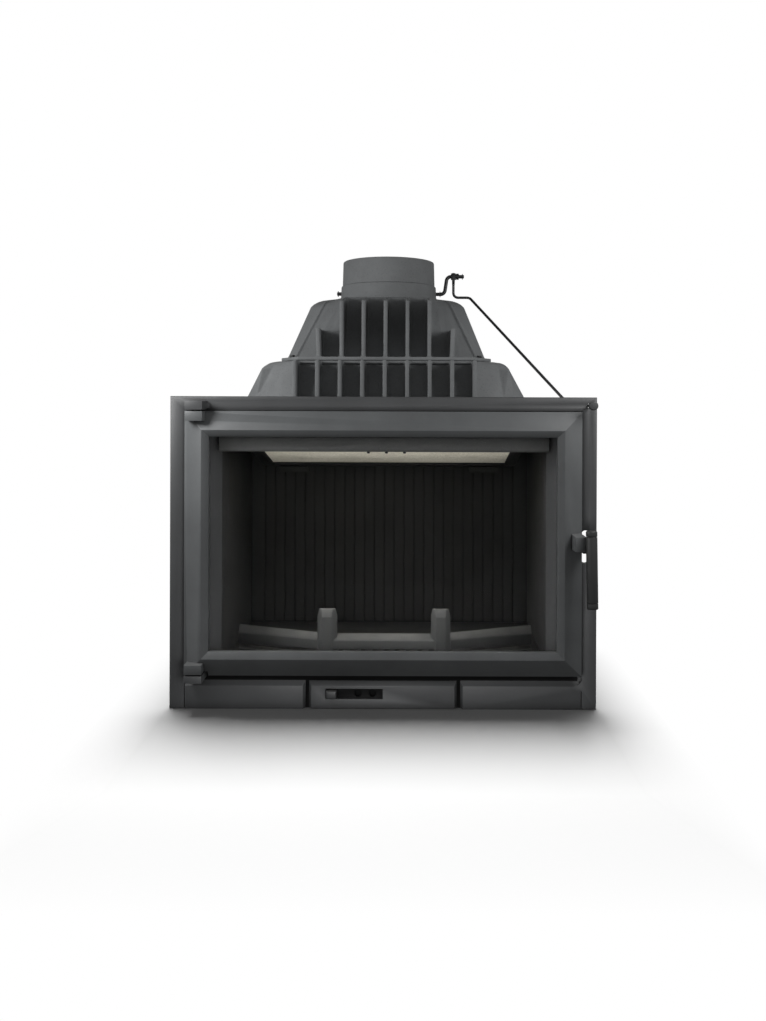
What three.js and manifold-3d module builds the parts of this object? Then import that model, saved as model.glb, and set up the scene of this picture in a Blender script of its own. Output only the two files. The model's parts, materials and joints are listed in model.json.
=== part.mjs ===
// Cast-iron fireplace insert with a glazed door, a ribbed two-stage hood and a flue damper.
// Millimetres, +Z up, +X to the right as seen from the front, +Y into the fireplace.
// While a piece is being shaped, Y is counted from the front face of the frame;
// the whole assembly is then moved so that the origin lies under the middle of the base.

import * as THREE from 'three';
import { mergeVertices } from 'three/addons/utils/BufferGeometryUtils.js';
import Module from 'manifold-3d';

const wasm = await Module();
wasm.setup();

// ---------------------------------------------------------------- driving dimensions

const clearance = 0.3; // gap between pieces that touch

// door
const doorWidth = 648;
const doorHeight = 431;
const doorBottom = 57; // height of its lower edge over the floor
const doorBand = 30.5; // sloping band from the outer edge up to the ridge
const doorBevel = 11; // inner bevel from the ridge down to the glass
const doorEdgeProud = 10; // how far the outer edge stands in front of the frame
const doorRidgeProud = 26;
const doorLipProud = 19;
const doorEdgeThickness = 4;
const doorLipThickness = 8;
const channelInset = 18.5; // rope channel, from the door's outer edge
const channelWidth = 9;
const channelWall = 3;
const channelDepth = 8;
const rebateWidth = 8; // how far the glass reaches under the lip
const cornerNotchWidth = 40; // lower left corner of the door, cut away round the frame's lug
const cornerNotchHeight = 8.6;

// glass
const glassThickness = 4;
const gasketThickness = 2;
const clipWidth = 24;
const clipLength = 12;
const clipThickness = 2;
const clipSpacing = 320;
const screwRadius = 1.5;
const screwHeadRadius = 3.2;
const screwHeadHeight = 2.2;
const screwDepth = 5;

// front frame
const sideStrip = 24; // flange seen beside the door
const topStrip = 23.2;
const recessMargin = 2; // air between the door's edge and the recess wall
const topMargin = 0.8; // the same air over the door
const flangeDepth = 12;
const recessDepth = 6;
const edgeChamfer = 1.2;
const padTop = 45; // height of the two lower pads and of the drawer front
const padChamfer = 7.5;
const padGroove = 6.5;
const padEndCut = 1.2; // fine groove between a pad and the side strip
const coveWidth = 18; // curved run-out at the right end of the right pad
const coveFlatness = 0.6;
const openingInset = 32; // fire opening, from the door's outer edge
const splayInset = 21; // the reveal narrows by this on each side
const sillDrop = 9;
const revealDepth = 40; // from the frame's front face to the fire chamber
const castWall = 8;
const bulkheadThickness = 6;
const seatWidth = 4; // seat rib that the door rope closes on
const seatHeight = 3;

// hinges
const pinRadius = 4;
const pinHeadRadius = 5.5; // of the lower pin
const pinHeadHeight = 1.8;
const pinSetback = 18; // pin axis, from the door's hinge-side edge
const pinProud = 22; // pin axis, in front of the frame
const lugWidth = 28;
const lugProud = 35;
const knuckleHeight = 15.5;
const topLugHeight = 13.8;
const bottomLugHeight = 11.4;
const hingeGap = 2.5;
const lugGussetWidth = 5;
const lugGussetProud = 14;

// door handle
const bossWidth = 15.5;
const bossHeight = 23;
const bossProud = 50;
const bossDraft = 1.5;
const pivotHeight = 278;
const pivotProud = 38;
const pivotRadius = 4;
const pivotBoltReach = 11; // into the boss
const leverThickness = 5;
const hubRadius = 11;
const gripRadius = 9;
const gripLength = 122;
const gripAbovePivot = 23.5;
const gripProud = 60;
const gripLean = 4.8; // degrees, foot of the grip nearer to the hand
const gripCoreRadius = 4;
const gripCapHeight = 9;
const gripGroove = 0.6;
const tongueLength = 60; // from the pivot to the nose
const keeperSlotWidth = 13.5;
const keeperSlotHeight = 54.5;
const keeperSlotBottom = 239.5;

// ash drawer and air slider
const drawerWidth = 242;
const drawerPlate = 5.7;
const drawerFloorGap = 1;
const drawerLap = 7; // how far the drawer front covers its window on each side
const windowTop = 49;
const panSideGap = 4; // from the window's side to the pan
const panLength = 320;
const panHeight = 36;
const panWall = 2;
const slotEndMargin = 27; // from the end of the drawer front to the air slot
const slotHeight = 17;
const slotBottom = 16;
const sliderKnobWidth = 17.5;
const sliderKnobHeight = 13.3;
const sliderKnobProud = 8;
const sliderLength = 124;
const sliderHeight = 22.4;
const sliderThickness = 2;
const railDepth = 3.5;
const airHoleWidth = 12;
const airHoleCount = 3;

// fire chamber
const chamberLength = 341; // from the reveal to the back liner
const sideLinerThickness = 11.7;
const backLinerThickness = 14.7;
const hearthTop = 62;
const hearthThickness = 8;
const hearthLedge = 8;
const flutePitch = 19.5;
const fluteWidth = 2.6;
const fluteDepth = 3;
const grateWidth = 200;
const grateLength = 170;
const grateThickness = 6;
const grateSlots = 9;
const grateSlotWidth = 8;
const grateFront = 125;
const grateLip = 5;

// body
const wallThickness = 8;
const baseThickness = 8;
const topPlateThickness = 7.7;
const bodyDrop = 15; // top of the walls, under the top of the front frame
const finMargin = 20; // the outer fins stop short of the walls' edges
const finPitch = 38;
const finWidth = 6.5;
const sideFinDepth = 7;
const rearFinDepth = 9;
const sideFinCount = 9;
const rearFinCount = 13;

// log guard
const postWidth = 33;
const postPitch = 191; // between the posts' centres
const postDepth = 16;
const postTop = 153;
const guardFront = 44;
const postChamfer = 8.5;
const postCap = 12; // height of the sloping cap of a post
const guardBarTop = 111.5;
const guardBarHeight = 24;
const guardBarSlope = 10; // height of the sloping upper face
const guardBarDepth = 14;
const guardArmHeight = 31; // at the free end of an arm
const lowerBarTop = 77;
const lowerBarHeight = 11;
const armReach = 255;
const armSetback = 72;

// air-wash bar
const washBarHalf = 273.5;
const washBarGap = 12.3; // air gap over the bar
const washBarHeight = 24.7;
const washBarFront = 20;
const washBarDepth = 14;
const washBarWall = 4;
const hangerWidth = 20;
const hangerSpread = 400;

// deflector
const boardThickness = 25;
const deflectorFrontGap = 57.7; // from the front of the fire chamber
const deflectorRearGap = 29; // from the back liner
const deflectorRearDrop = 128.5; // underside of the board at its rear edge, under the top of the walls
const deflectorSlope = 13.8; // degrees
const carrierSideGap = 27; // from the side liner
const carrierLedge = 21;
const carrierLedgeThickness = 5;
const carrierRim = 8;
const carrierRimHeight = 20;
const carrierBar = 14;
const rearLugInner = 156;
const rearLugOuter = 211;
const rearLugHeight = 11;
const rearLugLap = 10; // how far the lugs reach under the carrier
const sideLugLap = 2;
const sideLugSetback = 14;
const sideLugDepth = 20;
const sideLugHeight = 6;

// hood
const ribPitch = 38;
const ribWidth = 6.5;
const lowerRibCount = 9;
const lowerRibSetback = 1; // rib fronts, behind the rear edge of the reveal
const lowerHoodHalf = 249.5;
const lowerHoodHeight = 69;
const lowerHoodSlope = 27.5; // degrees from upright
const lowerHoodRound = 24;
const lowerPocketDepth = 26;
const lowerPocketRake = 18;
const upperRibCount = 5;
const upperRibSetback = 37; // behind the lower ribs
const upperHoodStep = 72.5; // foot of the upper hood, in from the foot of the lower one
const upperHoodHeight = 121.5;
const upperHoodSlope = 25.6;
const upperHoodRound = 30;
const upperPocketDepth = 24;
const upperPocketRake = 82;
const upperDeckSlope = 8.8;
const shortRibHeight = 50;
const shortRibDepth = 85;
const hoodFlangeReach = 7.5; // on each side of the upper hood
const hoodFlangeFrontInset = 27;
const hoodFlangeThickness = 6.5;
const lowerFlangeThickness = 5.2;
const hoodFlangeProud = 3; // in front of the upper ribs
const hoodFlangeCorner = 4;
const hoodFlangeRidgeSet = 16;
const hoodFlangeRidgeRun = 26;
const hoodWall = 7;
const hoodDeck = 7;
const hoodRearInset = 4; // from the back of the body
const hoodRearRadius = 20;
const hoodBoltRadius = 2.5;
const hoodBoltHead = 4.6;
const hoodBoltHeadHeight = 4;
const hoodBoltDepth = 11;
const frontBoltInset = 19; // from the flange's widest line
const frontBoltRun = 22;
const rearBoltInset = 3.9;
const rearBoltSetback = 70;
const inletSideLap = 24.5; // the top plate's opening keeps inside the foot of the lower hood
const inletFrontLap = 47;
const inletRearLap = 15;
const throatSideLap = 27; // the lower hood's opening keeps inside the foot of the upper hood
const throatFrontLap = 25;
const throatRearLap = 20;

// flue
const flueInset = 110; // flue axis, from the rear of the hood
const flueBore = 83;
const ringBaseRadius = 96.5;
const ringTopRadius = 92;
const ringHeight = 30;
const ringFoot = 3;
const ringFlare = 9; // height at which the flare of the foot ends
const spigotRadius = 88.4;
const spigotHeight = 47.1;
const spigotTaper = 1.2;
const spigotSkirt = 5; // depth of the skirt that centres the spigot in the ring
const spigotSkirtWall = 2.9;
const flueSides = 48;

// damper and its control rod
const axleHeight = 17.5; // over the hood's deck
const axleRadius = 3.5;
const axleStub = 100.8; // left end of the axle
const crankX = 112;
const crankArm = 34.6;
const crankEnd = 147;
const damperRadius = 77;
const damperThickness = 4;
const damperHubRadius = 7;
const damperHubHalf = 70;
const damperTilt = 45; // degrees at rest
const eyeX = 126.5;
const eyeThickness = 5;
const eyeWidth = 15.8;
const eyeSlotWidth = 8.8;
const eyeSlotHeight = 15.9;
const eyeRim = 3.5;
const washerThickness = 2;
const washerRadius = 6.5;
const rodRadius = 2.5;
const rodDrop = 41; // upright stretch below the crank pin
const rodKneeX = 158;
const rodElbowX = 314;
const rodElbowY = 55;
const knobInset = 13; // from the frame's right edge
const knobDrop = 13.6; // from the frame's top edge
const knobRadius = 7.25;
const knobLength = 14;
const knobProud = 40;

// ---------------------------------------------------------------- places worked out from them

const doorHalf = doorWidth / 2;
const doorTop = doorBottom + doorHeight;
const doorOutline = { half: doorHalf, low: doorBottom, high: doorTop };
const frameHalf = doorHalf + recessMargin + sideStrip;
const frameTop = doorTop + topMargin + topStrip;
const bodyTop = frameTop - bodyDrop;
const deflectorRearHeight = bodyTop - deflectorRearDrop;
const openingHalf = doorHalf - openingInset;
const openingLow = doorBottom + openingInset;
const openingHigh = doorTop - openingInset;
const washBarTop = openingHigh - washBarGap;
const chamberHalf = openingHalf - splayInset;
const chamberFront = revealDepth + clearance;
const chamberBack = revealDepth + chamberLength;
const casingInner = chamberHalf + sideLinerThickness + clearance;
const bodyHalf = casingInner + wallThickness;
const casingBack = chamberBack + backLinerThickness + clearance;
const bodyBack = casingBack + wallThickness;
const originY = bodyBack / 2;
const ropeInset = channelInset + channelWidth / 2;
const lipInset = doorBand + doorBevel;
const rebateInset = lipInset - rebateWidth;
const lipBack = -doorLipProud + doorLipThickness;
const glassFront = lipBack + 2 * clearance + gasketThickness;
const glassBack = glassFront + glassThickness;
const rimBack = glassBack + clearance;
const pinX = -doorHalf + pinSetback;
const lugLeft = pinX - lugWidth / 2 + 2;
const lugRight = lugLeft + lugWidth;
const bottomKnuckleLow = doorBottom + cornerNotchHeight - 0.5;
const topKnuckleHigh = doorTop - 0.3;
const bottomLugTop = bottomKnuckleLow - hingeGap;
const topLugLow = topKnuckleHigh + hingeGap;
const carrierHalf = chamberHalf - carrierSideGap;
const boardHalf = carrierHalf - carrierRim - clearance;
const sideLugWidth = carrierSideGap + sideLugLap;
const rearLugReach = deflectorRearGap + rearLugLap;
const deflectorFront = chamberFront + deflectorFrontGap;
const deflectorRear = chamberBack - deflectorRearGap;
const lowerRibFront = revealDepth + lowerRibSetback;
const upperRibFront = lowerRibFront + upperRibSetback;
const upperHoodHalf = lowerHoodHalf - upperHoodStep;
const hoodFlangeHalf = upperHoodHalf + hoodFlangeReach;
const hoodRear = bodyBack - hoodRearInset;
const flueY = hoodRear - flueInset;
const deckHeight = bodyTop + clearance + topPlateThickness; // the lower hood stands here
const lowerHoodTop = deckHeight + clearance + lowerHoodHeight;
const upperHoodLow = lowerHoodTop + clearance;
const upperHoodTop = upperHoodLow + upperHoodHeight;
const ringLow = upperHoodTop + clearance;
const axleZ = upperHoodTop + axleHeight;
const crankZ = axleZ + crankArm;
const windowWidth = drawerWidth - 2 * drawerLap;
const panWidth = windowWidth - 2 * panSideGap;
const knobX = frameHalf - knobInset;
const knobZ = frameTop - knobDrop;
const eyeLeft = eyeX - eyeThickness / 2;
const eyeRight = eyeX + eyeThickness / 2;
const panFloor = baseThickness + clearance;
const slotLength = drawerWidth / 2 - slotEndMargin;
const bossRight = doorHalf - 1.5;
const leverX = bossRight + 3.8;
const slotCentreX = leverX + leverThickness / 2 + 2.7;

// ---------------------------------------------------------------- materials

function castIron(name, shade, roughness = 0.62) {
  return new THREE.MeshStandardMaterial({ name, color: new THREE.Color(shade), roughness, metalness: 0.35 });
}

const paintedIron = castIron('painted_iron', 0x454747);
const hoodIron = castIron('hood_iron', 0x4b4d4d, 0.7);
const innerIron = castIron('inner_iron', 0x2c2d2e, 0.75);
const blackSteel = castIron('black_steel', 0x1d1e1f, 0.5);
const sheetSteel = castIron('sheet_steel', 0x55585a, 0.5);
const ceramicGlass = new THREE.MeshStandardMaterial({
  name: 'ceramic_glass', color: 0x1c1f1f, roughness: 0.05, metalness: 0, transparent: true, opacity: 0.25,
});
const rope = new THREE.MeshStandardMaterial({ name: 'rope', color: 0x2a2a28, roughness: 0.95, metalness: 0 });
const vermiculite = new THREE.MeshStandardMaterial({
  name: 'vermiculite', color: 0xb9ac8d, roughness: 0.9, metalness: 0,
});

// ---------------------------------------------------------------- shaping tools

// Builds a solid from corner points and triangles, whichever way round they were listed.
function solidFromFaces(points, faces) {
  let volume = 0;
  for (const [a, b, c] of faces) {
    const [p, q, r] = [points[a], points[b], points[c]];
    volume += p[0] * (q[1] * r[2] - q[2] * r[1]);
    volume += p[1] * (q[2] * r[0] - q[0] * r[2]);
    volume += p[2] * (q[0] * r[1] - q[1] * r[0]);
  }
  const outward = volume > 0 ? faces : faces.map(([a, b, c]) => [a, c, b]);
  return new wasm.Manifold(new wasm.Mesh({
    numProp: 3,
    vertProperties: new Float32Array(points.flat()),
    triVerts: new Uint32Array(outward.flat()),
  }));
}

function solidFromGeometry(geometry) {
  const bare = geometry.clone();
  bare.deleteAttribute('normal');
  bare.deleteAttribute('uv');
  const merged = mergeVertices(bare, 1e-4);
  const place = merged.attributes.position;
  const points = [];
  for (let i = 0; i < place.count; i += 1) {
    points.push([place.getX(i), place.getY(i), place.getZ(i)]);
  }
  const faces = [];
  for (let i = 0; i < merged.index.count; i += 3) {
    const face = [0, 1, 2].map((k) => merged.index.getX(i + k));
    if (new Set(face).size === 3) {
      faces.push(face);
    }
  }
  return solidFromFaces(points, faces);
}

function box([x0, x1], [y0, y1], [z0, z1]) {
  const block = new THREE.BoxGeometry(x1 - x0, y1 - y0, z1 - z0);
  block.translate((x0 + x1) / 2, (y0 + y1) / 2, (z0 + z1) / 2);
  return solidFromGeometry(block);
}

const [alongX, alongY, alongZ] = [[1, 0, 0], [0, 1, 0], [0, 0, 1]].map((axis) => new THREE.Vector3(...axis));
const axesAlong = {
  x: new THREE.Matrix4().makeBasis(alongY, alongZ, alongX),
  y: new THREE.Matrix4().makeBasis(alongX, alongZ, alongY.clone().negate()),
  z: new THREE.Matrix4(),
};

// Extrudes an outline along one axis. Outlines are (y, z) along x, (x, z) along y and (x, y) along z.
function extrudeAlong(axis, outline, from, to) {
  const shape = new THREE.Shape(outline.map(([a, b]) => new THREE.Vector2(a, b)));
  const slab = new THREE.ExtrudeGeometry(shape, { depth: to - from, bevelEnabled: false });
  slab.translate(0, 0, axis === 'y' ? -to : from);
  slab.applyMatrix4(axesAlong[axis]);
  return solidFromGeometry(slab);
}

function circleOutline([a, b], radius, sides, start = 0) {
  return Array.from({ length: sides }, (_, i) => {
    const turn = start + (2 * Math.PI * i) / sides;
    return [a + radius * Math.cos(turn), b + radius * Math.sin(turn)];
  });
}

// A round bar or hole along an axis through a point of the two other coordinates.
function cylinderAlong(axis, centre, radius, from, to, sides = 16) {
  return extrudeAlong(axis, circleOutline(centre, radius, sides, Math.PI / sides), from, to);
}

// A slot outline with round ends, upright or lying.
function slotOutline([a, b], width, height, steps = 6) {
  const radius = Math.min(width, height) / 2;
  const reachA = width / 2 - radius;
  const reachB = height / 2 - radius;
  const corners = [[1, 1], [-1, 1], [-1, -1], [1, -1]];
  return corners.flatMap(([signA, signB], quarter) => Array.from({ length: steps + 1 }, (_, i) => {
    const turn = (quarter + i / steps) * (Math.PI / 2);
    return [a + signA * reachA + radius * Math.cos(turn), b + signB * reachB + radius * Math.sin(turn)];
  })).filter(([p, q], i, all) => {
    const [lastP, lastQ] = all[(i + all.length - 1) % all.length];
    return Math.hypot(p - lastP, q - lastQ) > 0.01;
  });
}

// Revolves a closed (radius, height) profile round the flue's axis.
function revolve(profile, sides) {
  const loop = [...profile, profile[0]].map(([r, z]) => new THREE.Vector2(r, z));
  const ring = new THREE.LatheGeometry(loop, sides);
  ring.rotateX(Math.PI / 2);
  return solidFromGeometry(ring).translate([0, flueY, 0]);
}

// Skins a row of equal rings of points and closes both ends.
function loft(rings) {
  const count = rings[0].length;
  const points = rings.flat();
  const faces = [];
  for (let level = 0; level + 1 < rings.length; level += 1) {
    for (let i = 0; i < count; i += 1) {
      const a = level * count + i;
      const b = level * count + ((i + 1) % count);
      faces.push([a, b, b + count], [a, b + count, a + count]);
    }
  }
  const last = (rings.length - 1) * count;
  for (let i = 1; i + 1 < count; i += 1) {
    faces.push([0, i + 1, i], [last, last + i, last + i + 1]);
  }
  return solidFromFaces(points, faces);
}

// Runs a closed (inset, y) profile round an upright rectangle, mitred at its corners.
function mitredFrame(profile, { half, low, high }) {
  const corners = [[-1, 0], [1, 0], [1, 1], [-1, 1]];
  const points = profile.flatMap(([inset, y]) => corners.map(([side, up]) => [
    side * (half - inset), y, up ? high - inset : low + inset,
  ]));
  const faces = [];
  profile.forEach((_, j) => {
    const next = (j + 1) % profile.length;
    corners.forEach((__, i) => {
      const turn = (i + 1) % corners.length;
      const quad = [j * 4 + i, j * 4 + turn, next * 4 + turn, next * 4 + i];
      faces.push([quad[0], quad[1], quad[2]], [quad[0], quad[2], quad[3]]);
    });
  });
  return solidFromFaces(points, faces);
}

function rectangleRing(half, low, high, y) {
  return [[-half, y, low], [half, y, low], [half, y, high], [-half, y, high]];
}

// A round bar bent along straight runs with rounded corners.
class BentBar extends THREE.Curve {
  constructor(corners, bendRadius) {
    super();
    this.arcLengthDivisions = 600;
    this.path = new THREE.CurvePath();
    const stops = corners.map((corner) => new THREE.Vector3(...corner));
    let start = stops[0];
    for (let i = 1; i + 1 < stops.length; i += 1) {
      const before = stops[i].clone().sub(stops[i - 1]).normalize();
      const after = stops[i + 1].clone().sub(stops[i]).normalize();
      const into = stops[i].clone().addScaledVector(before, -bendRadius);
      const out = stops[i].clone().addScaledVector(after, bendRadius);
      this.path.add(new THREE.LineCurve3(start, into));
      this.path.add(new THREE.QuadraticBezierCurve3(into, stops[i], out));
      start = out;
    }
    this.path.add(new THREE.LineCurve3(start, stops[stops.length - 1]));
  }

  getPoint(t) {
    return this.path.getPoint(t);
  }
}

function bentBar(corners, bendRadius, radius, sides, spacing) {
  const curve = new BentBar(corners, bendRadius);
  const round = circleOutline([0, 0], radius, sides).map(([a, b]) => new THREE.Vector2(a, b));
  const steps = Math.round(curve.getLength() / spacing);
  const bar = { steps, extrudePath: curve, bevelEnabled: false };
  return solidFromGeometry(new THREE.ExtrudeGeometry(new THREE.Shape(round), bar));
}

function joined(solids) {
  return solids.reduce((whole, solid) => whole.add(solid));
}

function spread(count, pitch) {
  return Array.from({ length: count }, (_, i) => (i - (count - 1) / 2) * pitch);
}

// Heights of the underside of the tilted deflector board.
function deflectorZ(y) {
  return deflectorRearHeight + (deflectorRear - y) * Math.tan(THREE.MathUtils.degToRad(deflectorSlope));
}

// ---------------------------------------------------------------- assembly group

const assembly = new THREE.Group();
assembly.position.y = -originY;

function addPiece(name, solid, material) {
  const mesh = solid.getMesh();
  const geometry = new THREE.BufferGeometry();
  geometry.setAttribute('position', new THREE.BufferAttribute(new Float32Array(mesh.vertProperties), 3));
  geometry.setIndex(new THREE.BufferAttribute(new Uint32Array(mesh.triVerts), 1));
  geometry.computeVertexNormals();
  const piece = new THREE.Mesh(geometry, material);
  piece.name = name;
  assembly.add(piece);
}

// ---------------------------------------------------------------- front frame

function lowerPads() {
  const half = frameHalf - sideStrip;
  const inner = drawerWidth / 2 + padGroove;
  const chamfered = ([x0, x1], cutLeft, cutRight) => loft([
    [[x0, recessDepth, 0], [x1, recessDepth, 0], [x1, recessDepth, padTop], [x0, recessDepth, padTop]],
    [
      [x0 + cutLeft, 0, 0], [x1 - cutRight, 0, 0],
      [x1 - cutRight, 0, padTop - padChamfer], [x0 + cutLeft, 0, padTop - padChamfer],
    ],
  ]);
  const left = chamfered([-half, -inner], padEndCut, padChamfer / 2);
  const right = chamfered([inner, half], padChamfer / 2, padEndCut);
  const cove = Array.from({ length: 7 }, (_, i) => {
    const turn = (i / 6) * (Math.PI / 2);
    const rise = coveFlatness * coveWidth * (1 - Math.cos(turn));
    return [half - coveWidth * (1 - Math.sin(turn)), padTop - padChamfer + rise];
  });
  const coveOutline = [[half - coveWidth, padTop - 2 * padChamfer], [half + 1, padTop - 2 * padChamfer],
    [half + 1, cove[6][1]], ...cove.reverse()];
  return joined([left, right, extrudeAlong('y', coveOutline, 0, recessDepth + 1)]);
}

function frameHingeLugs() {
  const top = box([lugLeft, lugRight], [-lugProud, 1], [topLugLow, topLugLow + topLugHeight]);
  const gusset = extrudeAlong('z', [
    [lugRight - 1, 1], [lugRight + lugGussetWidth, 1],
    [lugRight, -lugGussetProud], [lugRight - 1, -lugGussetProud],
  ], topLugLow + 2, topLugLow + topLugHeight - 2);
  const bottomLugLow = bottomLugTop - bottomLugHeight;
  const bottom = box([lugLeft, lugRight], [-lugProud, recessDepth + 1], [bottomLugLow, bottomLugTop]);
  return joined([top, gusset, bottom]);
}

function frontFrame() {
  const flange = loft([
    rectangleRing(frameHalf - edgeChamfer, edgeChamfer, frameTop - edgeChamfer, 0),
    rectangleRing(frameHalf, 0, frameTop, edgeChamfer),
    rectangleRing(frameHalf, 0, frameTop, flangeDepth),
  ]);
  const recess = box(
    [-frameHalf + sideStrip, frameHalf - sideStrip],
    [-1, recessDepth],
    [-1, frameTop - topStrip],
  );
  const sill = openingLow - sillDrop;
  const funnel = loft([
    rectangleRing(openingHalf + castWall, openingLow - castWall, openingHigh + castWall, recessDepth + 1),
    rectangleRing(chamberHalf + castWall, sill - castWall, openingHigh + castWall, revealDepth),
  ]);
  const bulkhead = box(
    [-bodyHalf, bodyHalf],
    [revealDepth - bulkheadThickness, revealDepth],
    [baseThickness + clearance, bodyTop],
  );
  const overshoot = splayInset / (revealDepth - recessDepth);
  const passage = loft([
    rectangleRing(openingHalf + overshoot, openingLow + overshoot, openingHigh, recessDepth - 1),
    rectangleRing(chamberHalf - overshoot, sill, openingHigh, revealDepth + 1),
  ]);
  const drawerWindow = box(
    [-windowWidth / 2, windowWidth / 2],
    [-1, revealDepth + 1],
    [baseThickness, windowTop],
  );
  const seat = mitredFrame([
    [ropeInset - seatWidth / 2, recessDepth + 1],
    [ropeInset - seatWidth / 2, recessDepth - seatHeight],
    [ropeInset + seatWidth / 2, recessDepth - seatHeight],
    [ropeInset + seatWidth / 2, recessDepth + 1],
  ], doorOutline);
  const keeper = extrudeAlong(
    'y',
    slotOutline([slotCentreX, keeperSlotBottom + keeperSlotHeight / 2], keeperSlotWidth, keeperSlotHeight),
    -1,
    flangeDepth + 1,
  );
  const rodHole = cylinderAlong('y', [knobX, knobZ], rodRadius + 1, -1, flangeDepth + 1);
  const pinHole = cylinderAlong('z', [pinX, -pinProud], pinRadius + clearance, 0, frameTop + 1);
  return flange
    .subtract(recess)
    .add(lowerPads())
    .add(funnel)
    .add(bulkhead)
    .subtract(passage)
    .subtract(drawerWindow)
    .add(seat)
    .add(frameHingeLugs())
    .subtract(keeper)
    .subtract(rodHole)
    .subtract(pinHole);
}

// ---------------------------------------------------------------- body casing

function sideWall(side) {
  const inner = side * casingInner;
  const outer = side * bodyHalf;
  const middle = (chamberFront + casingBack - clearance) / 2;
  const span = [chamberFront, casingBack - clearance];
  const rise = [baseThickness + clearance, bodyTop];
  const ordered = (a, b) => [Math.min(a, b), Math.max(a, b)];
  const plate = box(ordered(inner, outer), span, rise);
  const ledgeTop = hearthTop - hearthThickness - clearance;
  const ledge = box(
    ordered(inner - side * hearthLedge, inner + side),
    span,
    [ledgeTop - hearthLedge, ledgeTop],
  );
  const fins = spread(sideFinCount, finPitch).map((offset) => box(
    ordered(outer - side, outer + side * sideFinDepth),
    [middle + offset - finWidth / 2, middle + offset + finWidth / 2],
    [finMargin, bodyTop - finMargin],
  ));
  return joined([plate, ledge, ...fins]);
}

function rearWall() {
  const plate = box([-bodyHalf, bodyHalf], [casingBack, bodyBack], [baseThickness + clearance, bodyTop]);
  const fins = spread(rearFinCount, finPitch).map((x) => box(
    [x - finWidth / 2, x + finWidth / 2],
    [bodyBack - 1, bodyBack + rearFinDepth],
    [finMargin, bodyTop - finMargin],
  ));
  return joined([plate, ...fins]);
}

function basePlate() {
  const plate = box([-bodyHalf, bodyHalf], [flangeDepth + clearance, bodyBack], [0, baseThickness]);
  const guides = [-1, 1].map((side) => {
    const near = side * (panWidth / 2 + 1.5);
    const far = side * (panWidth / 2 + 5);
    return box(
      [Math.min(near, far), Math.max(near, far)],
      [revealDepth + 5, revealDepth + panLength - 30],
      [baseThickness - 1, baseThickness + 8],
    );
  });
  return joined([plate, ...guides]);
}

function topPlate() {
  const plate = box(
    [-bodyHalf, bodyHalf],
    [flangeDepth + clearance, bodyBack],
    [bodyTop + clearance, deckHeight],
  );
  const openingWidth = lowerHoodHalf - inletSideLap;
  const opening = box(
    [-openingWidth, openingWidth],
    [lowerRibFront + inletFrontLap, hoodRear - inletRearLap],
    [bodyTop - 1, deckHeight + 1],
  );
  return plate.subtract(opening);
}

// ---------------------------------------------------------------- fire chamber

function hearthPlate() {
  const plate = box(
    [-casingInner + clearance, casingInner - clearance],
    [chamberFront, casingBack - clearance],
    [hearthTop - hearthThickness, hearthTop],
  );
  const grateBack = grateFront + grateLength;
  const through = box(
    [-grateWidth / 2 + grateLip, grateWidth / 2 - grateLip],
    [grateFront + grateLip, grateBack - grateLip],
    [0, hearthTop + 1],
  );
  const rebate = box(
    [-grateWidth / 2 - clearance, grateWidth / 2 + clearance],
    [grateFront - clearance, grateBack + clearance],
    [hearthTop - grateThickness - clearance, hearthTop + 1],
  );
  return plate.subtract(through).subtract(rebate);
}

function grate() {
  const plate = box(
    [-grateWidth / 2, grateWidth / 2],
    [grateFront, grateFront + grateLength],
    [hearthTop - grateThickness, hearthTop],
  );
  const slots = spread(grateSlots, grateWidth / (grateSlots + 1)).map((x) => {
    const outline = slotOutline([x, grateFront + grateLength / 2], grateSlotWidth, grateLength - 40, 3);
    return extrudeAlong('z', outline, 0, hearthTop + 1);
  });
  return plate.subtract(joined(slots));
}

function sideLiner(side) {
  const inner = side * chamberHalf;
  const outer = side * (casingInner - clearance);
  const ordered = (a, b) => [Math.min(a, b), Math.max(a, b)];
  const plate = box(
    ordered(inner, outer),
    [chamberFront, casingBack - clearance],
    [hearthTop + clearance, bodyTop],
  );
  const lugFront = deflectorFront + sideLugSetback;
  const lugTop = deflectorZ(lugFront + sideLugDepth) - carrierLedgeThickness - clearance;
  const lug = box(
    ordered(inner - side * sideLugWidth, inner + side),
    [lugFront, lugFront + sideLugDepth],
    [lugTop - sideLugHeight, lugTop],
  );
  return joined([plate, lug]);
}

// Upright flutes, closed at the top and bottom margins, and the two lugs that carry the deflector.
function backLiner() {
  const half = chamberHalf - clearance;
  const plate = box([-half, half], [chamberBack, casingBack - clearance], [hearthTop + clearance, bodyTop]);
  const fluteCount = Math.floor((2 * half - flutePitch) / flutePitch);
  const flutes = spread(fluteCount, flutePitch).map((x) => extrudeAlong('z', [
    [x - fluteWidth / 2, chamberBack - 1],
    [x + fluteWidth / 2, chamberBack - 1],
    [x + fluteWidth / 4, chamberBack + fluteDepth],
    [x - fluteWidth / 4, chamberBack + fluteDepth],
  ], 0, bodyTop + 1));
  const lugTop = deflectorZ(deflectorRear) - carrierLedgeThickness - clearance;
  const lugs = [-1, 1].map((side) => box(
    side < 0 ? [-rearLugOuter, -rearLugInner] : [rearLugInner, rearLugOuter],
    [chamberBack - rearLugReach, chamberBack + 1],
    [lugTop - rearLugHeight, lugTop],
  ));
  return joined([plate.subtract(joined(flutes)), ...lugs]);
}

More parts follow.
